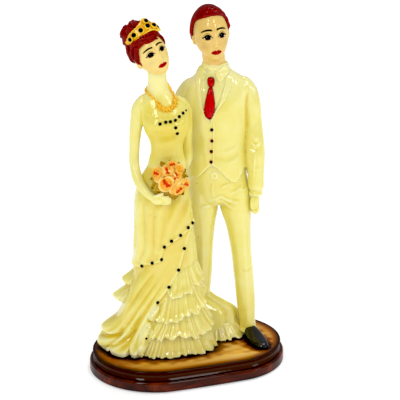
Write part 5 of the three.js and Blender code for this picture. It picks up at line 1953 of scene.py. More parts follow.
@dataclass
class BrideHead:
    """The bride's head, hair, bun and tiara; places are in the head's frame.

    Attributes:
        head: The head.
        hair: The combed cap of hair.
        bun_size: Width, depth and height of the bun.
        bun_place: Middle of the bun.
        bun_axis: What the bun is wound round.
        locks: Locks of hair, each a path with its half width and twist.
        band: Foot of the tiara on the hair.
        rise: Height of the tiara over its foot, as (share of its length, height).
        tilt: Which way the tiara stands.
        stones: Stones of the tiara, as (share of its length, height, radius).
    """

    head: Head = Head((-16.8, -6.3, 158.4), lean=-27, turn=26, nod=-4, width=15.4, height=22.0, jaw=0.2)
    hair: HairLine = HairLine((
        (-180, -0.3), (-140, -0.22), (-116, -0.06), (-104, 0.04), (-94, -0.06), (-84, -0.1), (-76, 0.02),
        (-68, 0.16), (-52, 0.4), (-25, 0.5), (0, 0.54), (30, 0.52), (60, 0.4), (80, 0.2), (98, -0.04),
        (112, -0.16), (140, -0.38), (180, -0.3),
    ), thick=1.05, lift=2.6, comb=(9.0, 5.0), groove=0.3, roll=0.3)
    bun_size: tuple[float, float, float] = (12.0, 11.0, 11.6)
    bun_place: tuple[float, float, float] = (-1.0, 4.6, 11.2)
    bun_axis: tuple[float, float, float] = (-0.45, 0.3, 0.84)
    locks: Sequence[tuple[Points, float, float]] = (
        (((-8.4, -2.4, 6.0), (-7.1, -4.2, 7.5), (-4.7, -7.5, 7.6), (-1.1, -9.2, 7.6), (2.5, -9, 7.3),
          (5.4, -7.5, 6.4), (6.9, -6, 5.2)), 1.6, 3.0),
        (((-7.5, -4.2, 3), (-6.7, -5.4, 5.1), (-4.7, -7.4, 5.9), (-1.9, -8.9, 6.2), (1.1, -9.2, 6),
          (3.5, -8.5, 5.6), (5.8, -7, 4.6)), 1.0, 2.0),
        (((-6.8, -5.4, 5.4), (-7.6, -4, 2.8), (-8, -3, 0.4), (-7.9, -2, -1.8), (-7.4, -1.5, -4.4)),
         0.95, 1.0),
        (((-7.6, -3.4, 7.4), (-8.6, -1.4, 4.4), (-8.8, 0.2, 1.6)), 0.9, 1.0),
        (((-7.4, 1, 9.6), (-8.8, 2.4, 5.4), (-8.2, 4, 1.4), (-7, 5, -0.4)), 1.0, 1.5),
        (((-5, 5, 9), (-6.4, 6.8, 4.6), (-5.4, 7.6, -0.4)), 1.5, 1.5),
        (((-3, -6, 11.5), (-4, -2, 13.5), (-4, 2, 13)), 1.6, 1.0),
        (((0, -6.5, 12), (0, -2, 14.4), (-0.5, 2, 14)), 1.7, 1.0),
        (((3, -6, 11.5), (3.4, -2, 13.6), (2.6, 2.5, 13)), 1.6, 1.0),
        (((7.2, -4.8, 5.6), (8.4, -2, 3), (8.4, 0.8, 0.8), (7.4, 3.4, -1.6)), 0.7, 1.5),
        (((5.6, 1, 10.4), (7.8, 2.6, 5.8), (7.4, 4.4, 0.8), (5.8, 6, -2.4)), 1.5, 1.5),
        (((2, 6.4, 8), (2.4, 8.6, 3.4), (2, 8.6, -1.4)), 1.6, 1.5),
    )
    band: Points = (
        (-8.4, -2, 8.7), (-7.2, -4.2, 8.5), (-6.1, -5.9, 8.6), (-4.3, -7.5, 8.9), (-2.2, -8.5, 9.1),
        (0.1, -8.8, 9.3), (2.5, -8.3, 9.2), (4.7, -7.5, 8.5), (6.3, -6.6, 7.7), (8, -4.6, 7), (9, -2, 6.6),
    )
    rise: Points = (
        (0, 1.4), (0.11, 3.1), (0.18, 4.1), (0.28, 4.7), (0.37, 5), (0.44, 5.5), (0.52, 6.3), (0.59, 7.3),
        (0.65, 7.4), (0.69, 6.2), (0.73, 4.6), (0.78, 4.7), (0.86, 4.4), (0.9, 3), (1, 1.2),
    )
    tilt: tuple[float, float, float] = (0.0, 0.42, 0.91)
    stones: Points = (
        (0.167, 1.7, 1.0), (0.279, 2.3, 1.15), (0.412, 2.35, 1.15), (0.562, 2.5, 1.15), (0.604, 5.25, 1.05),
        (0.696, 2.25, 1.05), (0.779, 1.4, 0.65),
    )

    def cap(self) -> Object:
        """Builds the hair: a combed cap with thick locks laid over it.

        Returns:
            The hair.
        """
        cap = self.hair.build("cap", self.head)
        ground = Ground(cap)
        shares = np.linspace(0, 1, 60)
        parts = [cap]
        for path, width, twist in self.locks:
            points = self.head.out(between(with_shares(path), shares))
            found = [ground.nearest(point) for point in points]
            places, ups = (np.array(values) for values in zip(*found))
            half = width * np.sin(math.pi * np.clip(0.04 + 0.93 * shares, 0, 1)) ** 0.55
            parts.append(lock("lock", places + 0.15 * half[:, None] * ups, ups, half, twist))
        return polish(join("bride_hair_cap", parts), 5, 0.2, angle=70)

    def bun(self) -> Object:
        """Builds the bun: one thick lock wound over a ball.

        Returns:
            The bun.
        """
        turn = turned_to(self.bun_axis)
        size, place = np.asarray(self.bun_size) / 2, np.asarray(self.bun_place)
        share = np.linspace(0, 1, 220)
        fall, about = 2.5 - 2.35 * share, FULL * (2.9 * share + 0.1)
        ways = np.stack([np.sin(fall) * np.cos(about), np.sin(fall) * np.sin(about), np.cos(fall)], axis=1)
        ways = ways @ turn.T
        half = 1.75 * np.sin(math.pi * np.clip(0.06 + 0.9 * share, 0, 1)) ** 0.4
        coil = lock("coil", self.head.out(ways * (size - 0.7) + place), ways @ self.head.frame().T, half, 9.0)
        core = ball("core", (0, 0, 0), np.asarray(self.bun_size) - 0.6, 5)
        set_points(core, self.head.out(points_of(core) + place))
        return polish(join("bride_bun_hair", [core, coil]), 5, 0.2, angle=70)

    def tiara(self, finishes: Finishes) -> None:
        """Builds and dresses the tiara: a standing gold band, its settings and its stones.

        Args:
            finishes: The finishes.
        """
        shares = np.linspace(0, 1, 160)
        foot = between(with_shares(self.band), shares)
        high = np.interp(shares, *np.array(self.rise).T) + 0.2 * np.abs(np.sin(50 * shares))
        tilt = np.asarray(self.tilt)
        outward = unit(np.cross(np.gradient(foot, axis=0), tilt))
        climb = np.linspace(0, 1, 24)
        front = [(v, 0.45 + 0.25 * hump(v, 0.05, 0.05) + 0.25 * hump(v, 0.93, 0.06)) for v in climb]
        rings = []
        for v, thick in front + [(1.02, 0.0)] + [(v, -0.5) for v in climb[::-1]]:
            rings.append(foot + (v * high)[:, None] * tilt + thick * outward)
        loop = np.stack(rings + rings[:1])
        ends = [np.repeat(loop[:, k].mean(axis=0)[None], len(loop), axis=0)[:, None] for k in (0, -1)]
        band = grid("tiara_band", self.head.out(np.concatenate([ends[0], loop, ends[1]], axis=1)))
        places, sizes = [], []
        for share, height, size in self.stones:
            k = int(np.argmin(np.abs(shares - share)))
            place = self.head.out(foot[k] + height * tilt + 0.5 * outward[k])
            places.append((place, self.head.frame() @ outward[k]))
            sizes.append(size)
        settings = beads("tiara_settings", places, [size + 0.35 for size in sizes], flat=0.5)
        gold = polish(join("tiara_gold", [band, settings]), 4, 0.13)
        dress(gold, finishes.gold, Slot.GOLD, "tiara")
        set_black_beads("tiara_stones", places, sizes, finishes, sink=0.0)

    def build(self, finishes: Finishes) -> None:
        """Builds and dresses the head.

        Args:
            finishes: The finishes.
        """
        face = named(self.head.skull([self.head.ear(-1), self.head.ear(1)]), "bride_face")
        self.head.paint(face, "#060302", "#B0040C", 0.12)
        dress(polish(face, 10, 0.6, angle=70), finishes.skin, Slot.SKIN, "bride_head")
        dress(self.cap(), finishes.hair, Slot.HAIR, "bride_hair")
        dress(self.bun(), finishes.hair, Slot.HAIR, "bride_bun")
        self.tiara(finishes)


@dataclass
class GroomHead:
    """The groom's head, neck and hair."""

    head: Head = Head((11.5, 11.6, 164.9), lean=-8, turn=12, nod=0, width=16.8, height=25.4, jaw=0.22)
    hair: HairLine = HairLine((
        (-180, -0.5), (-140, -0.45), (-118, -0.25), (-104, 0.1), (-98, 0.0), (-90, 0.0), (-84, 0.4),
        (-78, 0.56), (-58, 0.64), (-35, 0.68), (0, 0.72), (30, 0.7), (55, 0.64), (70, 0.58), (78, 0.44),
        (84, 0.06), (92, 0.0), (100, 0.12), (115, -0.2), (140, -0.45), (180, -0.5),
    ), thick=1.45, lift=-0.12, comb=(8.0, -6.0), groove=0.34, roll=0.5)
    neck: Points = ((13.8, 13.2, 146.0, 5.9), (13.4, 12.8, 150.5, 5.6), (12.8, 12.4, 155, 5.5),
                    (12.6, 12.4, 160, 5.5))

    def build(self, finishes: Finishes) -> None:
        """Builds and dresses the head.

        Args:
            finishes: The finishes.
        """
        parts = [self.head.ear(-1), self.head.ear(1), tube("neck", self.neck)]
        face = named(self.head.skull(parts), "groom_face")
        self.head.paint(face, "#060302", "#B0040C", 0.15)
        dress(polish(face, 10, 0.6, 0.1, 70), finishes.skin, Slot.SKIN, "groom_head")
        dress(self.hair.build("groom_hair_cap", self.head), finishes.hair, Slot.HAIR, "groom_hair")


# The flowers


@dataclass
class Bouquet:
    """Peach roses over a spray of olive leaves."""

    centre: tuple[float, float, float] = (-8.0, -16.5, 100.8)
    aim: tuple[float, float, float] = (0.05, -1.0, 0.12)
    radius: float = 8.8
    dome: float = 4.6
    rose: float = 4.0
    amber: int = 5
    places: Points = (
        (-0.14, -0.16, 1.08), (0.26, 0.17, 0.78), (0.44, -0.46, 0.82), (-0.64, 0.26, 0.78),
        (-0.13, 0.4, 0.84), (0.42, 0.5, 0.68), (0.1, 0.71, 0.66), (0.79, -0.21, 0.66),
    )
    spray: Points = (
        (185, 5.8, 5, 0.3), (212, 6.6, 6, 0.6), (236, 7.4, 7, 0.9), (262, 7.2, 6, 0.8), (286, 7.4, 6.5, 0.8),
        (312, 7.2, 6, 0.6), (335, 6.4, 5, 0.2), (5, 5.6, 4.6, -0.2), (30, 5.6, 4.6, 0.1),
        (60, 5.4, 4.4, -0.4), (90, 5.2, 4.4, -0.5), (120, 5.4, 4.4, -0.4), (152, 5.6, 4.6, -0.2),
    )

    def frame(self) -> Array:
        """Returns the rotation that takes +z to the way the flowers face."""
        return turned_to(Vector(self.aim).normalized())

    def petal(self, around: float, reach: float, rise: float, spread: float, size: float) -> Array:
        """Returns one petal as a closed sheet, in the rose's frame.

        Args:
            around: Where it grows, radians.
            reach: How far its lip stands from the middle.
            rise: Height of its lip.
            spread: Half its width, radians.
            size: Radius of the rose.

        Returns:
            Points, rows by columns.
        """
        u = np.linspace(-1, 1, 15)
        v = np.linspace(0, 1, 11)
        rows = []
        for side in (1, -1):
            sheet = []
            for share in v if side > 0 else v[::-1]:
                top = share * (1 - 0.3 * u**2)
                out = size * (0.12 + reach * top**0.75 + 0.12 * top**5)
                high = size * (-0.35 + (rise + 0.35) * np.sin(top * 1.75) - 0.1 * top**6)
                thick = 0.4 * side * (1 - u**6) * min(1.0, 4 * (1 - share) + 0.2)
                turn = around + spread * u * (0.7 + 0.3 * share)
                far = out + thick
                sheet.append(np.stack([far * np.cos(turn), far * np.sin(turn), high + 0.3 * thick], axis=1))
            rows += sheet
        return np.stack(rows + [rows[0]])

    def rose_piece(self, name: str, size: float, seed: int) -> Object:
        """Builds one rose facing +z at the origin, with its paint.

        Args:
            name: Name of the piece.
            size: Radius of the rose.
            seed: Number of the rose, which sets how its petals stray.

        Returns:
            The rose.
        """
        layers = [(2, 0.2, 0.62, 1.35), (3, 0.56, 0.56, 1.15), (4, 0.95, 0.1, 0.95)]
        made = []
        for level, (count, reach, rise, spread) in enumerate(layers):
            for k in range(count):
                stray = 0.16 * math.sin(2.4 * seed + 1.9 * k + level)
                around = FULL * (k + 0.37 * level + 0.13 * seed) / count + stray
                petal = self.petal(around, reach * (1 + stray), rise + 0.5 * stray, spread, size)
                made.append(grid("petal", petal))
        heart = ball("heart", (0, 0, -0.05 * size), (1.5 * size, 1.5 * size, 1.2 * size))
        obj = join(name, [*made, heart])
        points = points_of(obj)
        angle = np.arctan2(points[:, 1], points[:, 0])
        away = np.hypot(points[:, 0], points[:, 1]) / size
        smear = 0.16 * np.sin(2 * angle + 1.7 * seed) + 0.08 * np.sin(5 * angle + 2 * seed)
        red = (1 - step(away + smear, 0.26, 0.44))[:, None]
        heart_colour = "#F2A41E" if seed == self.amber else "#D41202"
        colours = np.zeros((len(points), 4))
        blush, deep = (np.array(linear(colour)[:3]) for colour in ("#FAA41C", heart_colour))
        colours[:, :3] = blush * (1 - red) + deep * red
        colours[:, 3] = np.maximum(0.65 * (1 - step(away, 0.4, 0.85)), 0.95 * red[:, 0])
        record_paint(obj, colours)
        return obj

    def roses(self, finishes: Finishes) -> None:
        """Builds and dresses the roses, each over its packed one.

        Args:
            finishes: The finishes.
        """
        frame_of = self.frame()
        for k, (side, rise, share) in enumerate(self.places):
            tilt = math.hypot(side, rise)
            aim = np.array((side * math.sin(tilt), rise * math.sin(tilt), tilt * math.cos(tilt)))
            turn = turned_to(aim)
            middle = np.array((side * self.radius, rise * self.radius, self.dome * math.cos(tilt)))
            obj = self.rose_piece(f"rose_{k + 1}", self.rose * share * 1.08, k)
            set_points(obj, (points_of(obj) @ turn.T + middle) @ frame_of.T + np.asarray(self.centre))
            dress(polish(weld(obj), 4, 0.3), finishes.rose, Slot.ROSE, f"bouquet_rose_{k + 1}")

    def leaf_piece(self, length: float, width: float) -> Array:
        """Draws a leaf from its stalk at the origin along +x, as a closed sheet.

        Args:
            length: From stalk to tip.
            width: Across the middle.

        Returns:
            Points, rows by columns.
        """
        u = np.linspace(0, 1, 19)
        v = np.linspace(-1, 1, 13)
        sheets = []
        for side in (1, -1):
            rows = []
            for across in v if side > 0 else v[::-1]:
                half = width / 2 * np.sin(math.pi * u**0.8) ** 0.8
                vein = 0.12 * np.sin(u * 34 - 3 * abs(across)) * (1 - abs(across))
                high = 0.5 * abs(across) ** 1.3 * width / 4 - 1.6 * u**2 + vein + 0.2 * side
                rows.append(np.stack([length * u, half * across, high], axis=1))
            sheets += rows
        return np.stack(sheets + [sheets[0]])

    def leaves(self, finishes: Finishes) -> None:
        """Builds and dresses the leaves behind and below the roses.

        Args:
            finishes: The finishes.
        """
        frame_of = self.frame()
        made = []
        for degrees, length, width, rise in self.spray:
            points = self.leaf_piece(length, width) + np.array([self.radius * 0.38, 0, rise])
            points = points @ about_z(math.radians(degrees)).T
            made.append(grid("leaf", points @ frame_of.T + np.asarray(self.centre)))
        hub = ball("hub", np.asarray(self.centre) + (0, 0.8, 0), (13, 4.5, 13))
        obj = polish(join("bouquet_foliage", [*made, hub]), 4, 0.2)
        dress(obj, finishes.leaf, Slot.LEAF, "bouquet_leaves")

    def build(self, finishes: Finishes) -> None:
        """Builds and dresses the bouquet."""
        self.leaves(finishes)
        self.roses(finishes)


# The groom


@dataclass
class Trousers:
    """Hips, legs, waist button and the shoe that shows."""

    x: float = GROOM_X
    y: float = GROOM_Y
    hips: float = 33.4
    hips_depth: float = 17.4
    knee: float = 10.2
    leg: float = 67.0
    hem_z: float = 12.8
    shoe_length: float = 26.0
    shoe_width: float = 8.6
    shoe_height: float = 6.0
    shoe_turn: float = 22.0
    # Share of the shoe's length, then its half width and height there as shares of the full ones
    shoe_stations: Points = (
        (0, 0.3, 0.62), (0.02, 0.62, 0.86), (0.12, 0.86, 1.0), (0.34, 0.84, 1.02), (0.48, 0.94, 0.86),
        (0.62, 1, 0.68), (0.78, 0.9, 0.54), (0.9, 0.68, 0.44), (0.97, 0.42, 0.34), (1, 0.12, 0.22),
    )
    button: tuple[float, float] = (13.4, 96.4)
    button_radius: float = 2.1
    folds: Sequence[Fold] = (
        Fold(((11.2, 82.4), (14, 84.2), (16.6, 85.8), (19.2, 84.4), (22, 83), (25.6, 82.6)),
             0.7, 0.9, (0.2, 0.2)),
        Fold(((16.6, 83.6), (13.4, 81.2), (10.4, 80.2), (7, 80.6)), 0.5, 0.8),
        Fold(((17, 83.4), (20.4, 80.6), (24, 79)), 0.5, 0.8),
        Fold(((12.6, 93.4), (12.4, 89), (12.8, 85.6)), 0.35, 0.5),
        Fold(((16, 89.8), (18.4, 91), (21, 92)), 0.4, 0.7),
        Fold(((20, 87), (24, 88), (28, 90.5)), 0.35, 0.8),
        Fold(((28.4, 76), (28.8, 60), (30, 40), (31.2, 18)), 0.35, 1.2, (0.2, 0.6)),
        Fold(((26, 48), (29, 46.5), (33, 47)), -0.25, 0.8),
        Fold(((7.6, 74), (7.8, 60), (7.4, 44), (6.4, 30)), 0.35, 1.3, (0.2, 0.6)),
        Fold(((26.6, 17), (30, 15.6), (34.6, 16.6)), -0.3, 0.7),
        Fold(((27, 14.2), (31, 13.2), (35.4, 14.2)), 0.4, 0.8, (0.6, 0.6)),
    )

    def leg_loft(self, side: int) -> Loft:
        """Lays out a leg.

        Args:
            side: 1 for the groom's left leg, -1 for the right.

        Returns:
            Its sections, from the hem up.
        """
        quarter, knee = self.hips / 4, self.knee / 2
        low = self.hem_z if side > 0 else SEAT_Z
        lean = (6.8, -2.4) if side > 0 else (-2.6, 2.0)

        def station(share: float, height: float, half: float, deep: float) -> tuple[float, ...]:
            """Returns a section at a share of the leg, leaning and bowed as the leg is."""
            bow = (0.6 if side > 0 else 1.4) * math.sin(math.pi * share)
            x = self.x + 1.3 + side * quarter + lean[0] * (1 - share) + bow
            return height, x, self.y + lean[1] * (1 - share), half, deep

        def rise(share: float) -> float:
            """Returns the height at a share of the leg."""
            return self.hem_z + share * self.leg

        return Loft((
            station(0, low, knee - 0.5, knee - 0.1), station(0.04, low + 2.6, knee - 0.8, knee - 0.3),
            station(0.25, rise(0.25), knee - 0.3, knee), station(0.48, rise(0.48), knee, knee + 0.4),
            station(0.66, rise(0.66), knee + 0.2, knee + 1),
            station(0.83, rise(0.83), knee + 1.2, knee + 1.9),
            station(1, rise(1), quarter - 0.3, self.hips_depth / 2 - 0.6),
            station(1, rise(1.14), quarter - 1.4, self.hips_depth / 2 - 1.4),
        ))

    def hips_loft(self) -> Loft:
        """Lays out the hips.

        Returns:
            Their sections, from the crotch to the waist.
        """
        x, y, wide, deep = self.x, self.y, self.hips / 2, self.hips_depth / 2
        return Loft((
            (CROTCH_Z + 0.6, x + 1.3, y, wide - 3.6, deep - 2.6),
            (CROTCH_Z + 2.6, x + 1.3, y, wide - 0.9, deep - 0.6),
            (CROTCH_Z + 6, x + 1, y, wide - 0.4, deep + 0.1),
            (CROTCH_Z + 13, x + 0.4, y, wide - 1.5, deep - 0.2),
            (WAIST_Z + 4, x, y, 13.6, 8.3),
        ))

    def shoe(self) -> Object:
        """Builds the left shoe: heel, vamp and pointed toe over a thin sole.

        Returns:
            The shoe.
        """
        shares = np.concatenate([np.linspace(0, 0.1, 14), np.linspace(0.11, 0.9, 50),
                                 np.linspace(0.91, 1, 16)])
        wide, tall = between(self.shoe_stations, shares).T
        turn = np.linspace(0, FULL, 65)
        rings = []
        for share, half, high in zip(shares, wide, tall):
            side = np.sign(np.cos(turn)) * np.abs(np.cos(turn)) ** 0.8
            rise = self.shoe_height * high * (1 + np.sin(turn)) / 2
            sole = 0.35 * hump(rise, 0.9, 0.5) - 0.3 * hump(rise, 1.6, 0.3)
            x = (self.shoe_width / 2 * half + sole * half) * side
            y = np.full_like(x, 5.4 - share * self.shoe_length)
            rings.append(np.stack([x, y, np.maximum(rise, 0.15)], axis=1))
        points = capped(np.stack(rings)) @ about_z(math.radians(self.shoe_turn)).T
        return polish(grid("groom_shoe", points + (self.x + 16.6, self.y - 2.4, DECK_Z)), 6, 0.25)

    def build(self, finishes: Finishes) -> Array:
        """Builds and dresses trousers, button and shoe.

        Args:
            finishes: The finishes.

        Returns:
            The (x, y) of shoe points near the deck.
        """
        forms = [self.leg_loft(1).body("leg", 150, 80), self.leg_loft(-1).body("leg", 150, 80),
                 self.hips_loft().body("hips", 60, 130)]
        trousers = fuse("groom_trousers", forms, 0.34, 16)
        sculpt(trousers, self.folds, 0.1)
        x, _, z = points_of(trousers).T
        # Deeper yellow towards the hem; painted light pales the right leg, where the gown shades it.
        ankle = 0.2 * (1 - step(z, 11, 15)) + 0.14 * (1 - step(z, 16, 46))
        polish(trousers, 16, 0.4, ankle - 0.2 * (1 - step(x, 4, 9)), 70)
        dress(trousers, finishes.ivory, Slot.IVORY, "groom_hips", "groom_left_leg", "groom_right_leg")
        (x, z), radius = self.button, self.button_radius
        turns = np.linspace(0, FULL, 24, endpoint=False)
        ring = [(x + radius * math.cos(turn), z + radius * math.sin(turn)) for turn in turns]
        button = Relief(ring, rise=0.75, roll=0.8, dish=0.35, spacing=0.25, corners=1)
        button = button.build("waist_button", Ground(trousers))
        dress(polish(button, 6, 0.2), finishes.ivory, Slot.IVORY, "waistband_button")
        shoe = dress(self.shoe(), finishes.shoe, Slot.SHOE, "groom_left_shoe")
        points = points_of(shoe)
        return points[points[:, 2] < DECK_Z + 1.2][:, :2]


@dataclass
class Jacket:
    """Jacket, sleeves, cuff, hands, shirt, lapels, tie and buttons."""

    x: float = GROOM_X
    y: float = GROOM_Y
    chest: float = 32.4
    depth: float = 19.0
    waist: float = 29.2
    sleeve: float = 9.0
    hem: Points = ((-180, 93.6), (-150, 94.2), (-127, 95.4), (-101, 101.2), (-56, 92.8), (-22, 99.6),
                   (0, 97), (40, 91.5), (90, 90.4), (140, 91.5), (180, 93.6))
    buttons: Points = ((12.1, 119.6), (12.2, 114.1), (11.9, 108.7), (11.9, 103.6))
    button_radius: float = 0.85
    shirt: Points = ((7.4, 147.4), (18, 147.4), (17, 138), (14.4, 131), (11.2, 124.2), (8.8, 128), (7, 136))
    lapel_left: Points = ((4.2, 148), (7.6, 147.4), (6.9, 140), (7.2, 134), (8.6, 129), (11.4, 123.6),
                          (10.8, 122.4), (8.2, 125.6), (5.8, 131), (4.6, 138))
    lapel_right: Points = ((18.6, 146.6), (23.6, 144.6), (20.8, 142.6), (21.8, 141.2), (20.2, 136.8),
                           (17.4, 132), (14.2, 127.6), (11.4, 122.4), (11, 123.8), (13.2, 128.4), (16, 134),
                           (18.2, 140.4))
    wing_left: Points = ((7.3, 149.9), (9.9, 146.6), (9.6, 144.9), (8.2, 142), (5.7, 144.9), (4.5, 146.7),
                         (5.7, 148.6))
    wing_right: Points = ((18.6, 151), (21.3, 147.8), (19.4, 145.2), (16.6, 142.6), (15.3, 142.2),
                          (13.2, 146.1), (14.9, 148.3))
    knot: Points = ((9.9, 144.9), (13.4, 144.9), (13.6, 142), (12.7, 139.8), (10.5, 139.8), (9.7, 142))
    blade: Points = ((10.7, 140.6), (12.6, 140.6), (13.6, 134), (13.9, 130.4), (13.2, 126.9), (11, 123.8),
                     (8.8, 126.9), (8.2, 130.8), (9.4, 136.4))
    folds: Sequence[Fold] = (
        Fold(((12.9, 123), (12.9, 112), (12.6, 102)), 0.35, 0.35, (0.9, 0.9)),
        Fold(((31.6, 143), (30.4, 139.6), (29.2, 134), (29, 126), (29.2, 117)), -0.4, 0.6, (0.3, 0.3)),
        Fold(((30.4, 112.4), (33, 111), (36.4, 111.6)), 0.45, 0.6),
        Fold(((30.2, 109.8), (33, 108.8), (35, 109.4)), -0.4, 0.6),
        Fold(((33.4, 110), (33, 103), (32.6, 94.6)), 0.4, 0.5),
        Fold(((31, 117.6), (32.6, 114.6), (35.4, 114)), 0.35, 0.9),
        Fold(((30.6, 101), (33.6, 99), (37, 99.6)), 0.25, 0.9),
        Fold(((3.6, 141), (3.6, 132), (2.6, 122)), -0.4, 1.2),
        Fold(((26, 112), (22, 109), (17, 108)), 0.3, 1.4),
        Fold(((27, 107.6), (23.4, 104), (19, 102.4)), 0.3, 1.3),
        Fold(((22.6, 129), (24.6, 124), (24.2, 117)), 0.25, 1.6),
        Fold(((7, 121), (8.4, 114), (8, 107)), 0.25, 1.6),
    )

    def loft(self) -> Loft:
        """Lays out the jacket.

        Returns:
            Its sections, from under the hem to the collar.
        """
        x, y, chest, deep, waist = self.x, self.y, self.chest / 2, self.depth / 2, self.waist / 2
        return Loft((
            (WAIST_Z - 11, x + 0.3, y, 16.6, 9.7), (WAIST_Z, x, y, waist + 0.6, deep + 0.2),
            (WAIST_Z + 8, x - 0.4, y + 0.2, waist, deep - 0.4),
            (WAIST_Z + 17, x - 0.6, y + 0.4, chest - 0.8, deep),
            (WAIST_Z + 27, x - 0.6, y + 0.6, chest, deep + 0.1),
            (WAIST_Z + 35, x, y + 0.8, chest + 0.3, deep - 0.9),
            (WAIST_Z + 40, x + 0.8, y + 1, chest - 0.6, deep - 2.2),
            (WAIST_Z + 43.6, x + 0.4, y + 1, chest - 4.6, deep - 2.9),
            (COLLAR_Z, x - 0.8, y + 1, chest - 8.6, deep - 3.3), (COLLAR_Z + 2.6, x - 0.8, y + 0.8, 6.6, 5.9),
        ))

    def coat(self) -> Object:
        """Builds the jacket with its pointed hem turned in.

        Returns:
            The jacket with both sleeves.
        """
        loft = self.loft()
        turns = np.linspace(-math.pi, math.pi, 301)
        hem = between(self.hem, np.degrees(turns))[:, 0]
        top = loft.stations[-1][0]
        shares = np.concatenate([np.linspace(0, 0.03, 6), np.linspace(0.04, 1, 190)])
        rings = [loft.points(hem + 4, turns, -1.3), loft.points(hem + 0.3, turns, -1.3)]
        for k in range(5):
            bend = math.pi * (0.5 + k / 8)
            inward = -0.65 - 0.65 * math.cos(bend + math.pi / 2)
            rings.append(loft.points(hem + 0.3 - 0.3 * math.sin(bend), turns, inward))
        for share in shares:
            rings.append(loft.points(hem + 0.3 + (top - hem - 0.3) * share, turns, 0.0))
        stack = np.stack(rings)
        stack[:, -1] = stack[:, 0]
        obj = fuse("groom_coat", [grid("coat", capped(stack)), *self.sleeves()], 0.36, 4)
        sculpt(obj, self.folds, 0.1)
        x, _, z = points_of(obj).T
        # Paler towards the collar, and as painted light beside the bride, where she shades the jacket.
        return polish(obj, 14, 0.4, -0.22 * step(z, 128, 146) - 0.1 * (1 - step(x, 4, 11)))

    def sleeves(self) -> list[Object]:
        """Builds both sleeves.

        Returns:
            Forms to be fused with the jacket.
        """
        x, y, half, top = self.x, self.y, self.sleeve / 2, COLLAR_Z
        left = tube("sleeve", (
            (x + 9.6, y + 1, top - 6.6, half * 0.7), (x + 13, y + 1, top - 7.6, half - 0.6),
            (x + 15.4, y + 0.9, top - 11, half - 0.1), (x + 17, y + 0.6, top - 16.5, half - 0.1),
            (x + 18.4, y, top - 26, half - 0.6), (x + 19, y - 1, top - 36, half),
            (x + 19.2, y - 2, top - 42, half + 0.2),
            (x + 19.4, y - 3, top - 51, half - 0.3), (x + 19.6, y - 3.8, top - 57.6, half - 0.5),
        ), 130, 72)
        right = tube("sleeve", (
            (x - 9.4, y + 1, top - 7, half * 0.7), (x - 12.4, y + 1, top - 8.4, half - 0.6),
            (x - 14.8, y + 1.2, top - 11.6, half - 0.1), (x - 17.2, y + 2.6, top - 18, half - 0.1),
            (x - 19.4, y + 3.8, top - 26, half - 0.4), (x - 20.6, y + 3, top - 33.6, half),
            (x - 21.4, y - 0.4, top - 38, half - 0.3), (x - 22.4, y - 3.6, top - 39.6, half - 0.9),
        ), 110, 72)
        return [left, right]

    def hands(self, finishes: Finishes) -> None:
        """Builds and dresses the cuff, the closed left hand and the hand behind the bride's waist.

        Args:
            finishes: The finishes.
        """
        x, y, z = self.x + 19.6, self.y - 3.8, COLLAR_Z - 59.5
        rings = Loft(((z - 2.9, x - 0.2, y - 0.2, 3.1, 3.2), (z - 2.6, x - 0.2, y - 0.2, 3.3, 3.4),
                      (z - 0.4, x, y, 3.2, 3.3), (z + 3, x, y, 3.0, 3.1)))
        cuff = polish(rings.body("groom_cuff", 30, 64), 6, 0.25, angle=50)
        dress(cuff, finishes.ivory, Slot.IVORY, "groom_left_cuff")
        wrist = np.array((x - 0.3, y - 0.2, z - 2.4))
        parts = [digit(wrist, ((0, 0, 0, 1.9), (-0.2, -0.3, -3, 2.4), (-0.5, -0.4, -6.2, 2.3)), 30, 30)]
        for k in range(4):
            root = wrist + (0.9 - 0.3 * k, -1.6 + 1.05 * k, -6.0)
            drop = 3.4 - 0.35 * abs(k - 1)
            steps = ((0, 0, 0, 0.95), (0.3, -0.2, -0.55 * drop, 0.92), (-0.8, -0.3, -drop, 0.82),
                     (-2.0, -0.1, -0.75 * drop, 0.7))
            parts.append(digit(root, steps, 24, 18))
        thumb = ((-1.2, -1.6, -1.8, 1.0), (-1.8, -2.4, -4.2, 0.95), (-1.7, -2.3, -6.8, 0.75))
        parts.append(digit(wrist, thumb, 24, 18))
        hand = fuse("groom_hand_left", parts, 0.2, 2)
        ex, ey, ez = self.x - 22.4, self.y - 3.6, COLLAR_Z - 39.6
        behind = [ball("palm", (ex - 1.6, ey - 1.4, ez - 0.4), (6.4, 4.0, 4.8))]
        for k in range(4):
            root = np.array((ex - 3.4, ey - 1.8 - 0.1 * k, ez + 1.2 - 1.1 * k))
            steps = ((0, 0, 0, 0.85), (-1.8, -1.2, -0.2, 0.8), (-2.6, -2.8, -0.4, 0.7))
            behind.append(digit(root, steps, 20, 16))
        other = fuse("groom_hand_right", behind, 0.2, 2)
        for obj, node in ((hand, "groom_left_hand"), (other, "groom_right_hand")):
            dress(polish(obj, 8, 0.3, angle=70), finishes.ivory, Slot.SKIN, node)

    def laid(self, name: str, shape: Relief, ground: Ground, finish: Material, slot: Slot,
             *nodes: str) -> Object:
        """Builds and dresses one raised detail of the front."""
        return dress(polish(shape.build(name, ground), 6, 1.6, -0.15), finish, slot, *nodes)

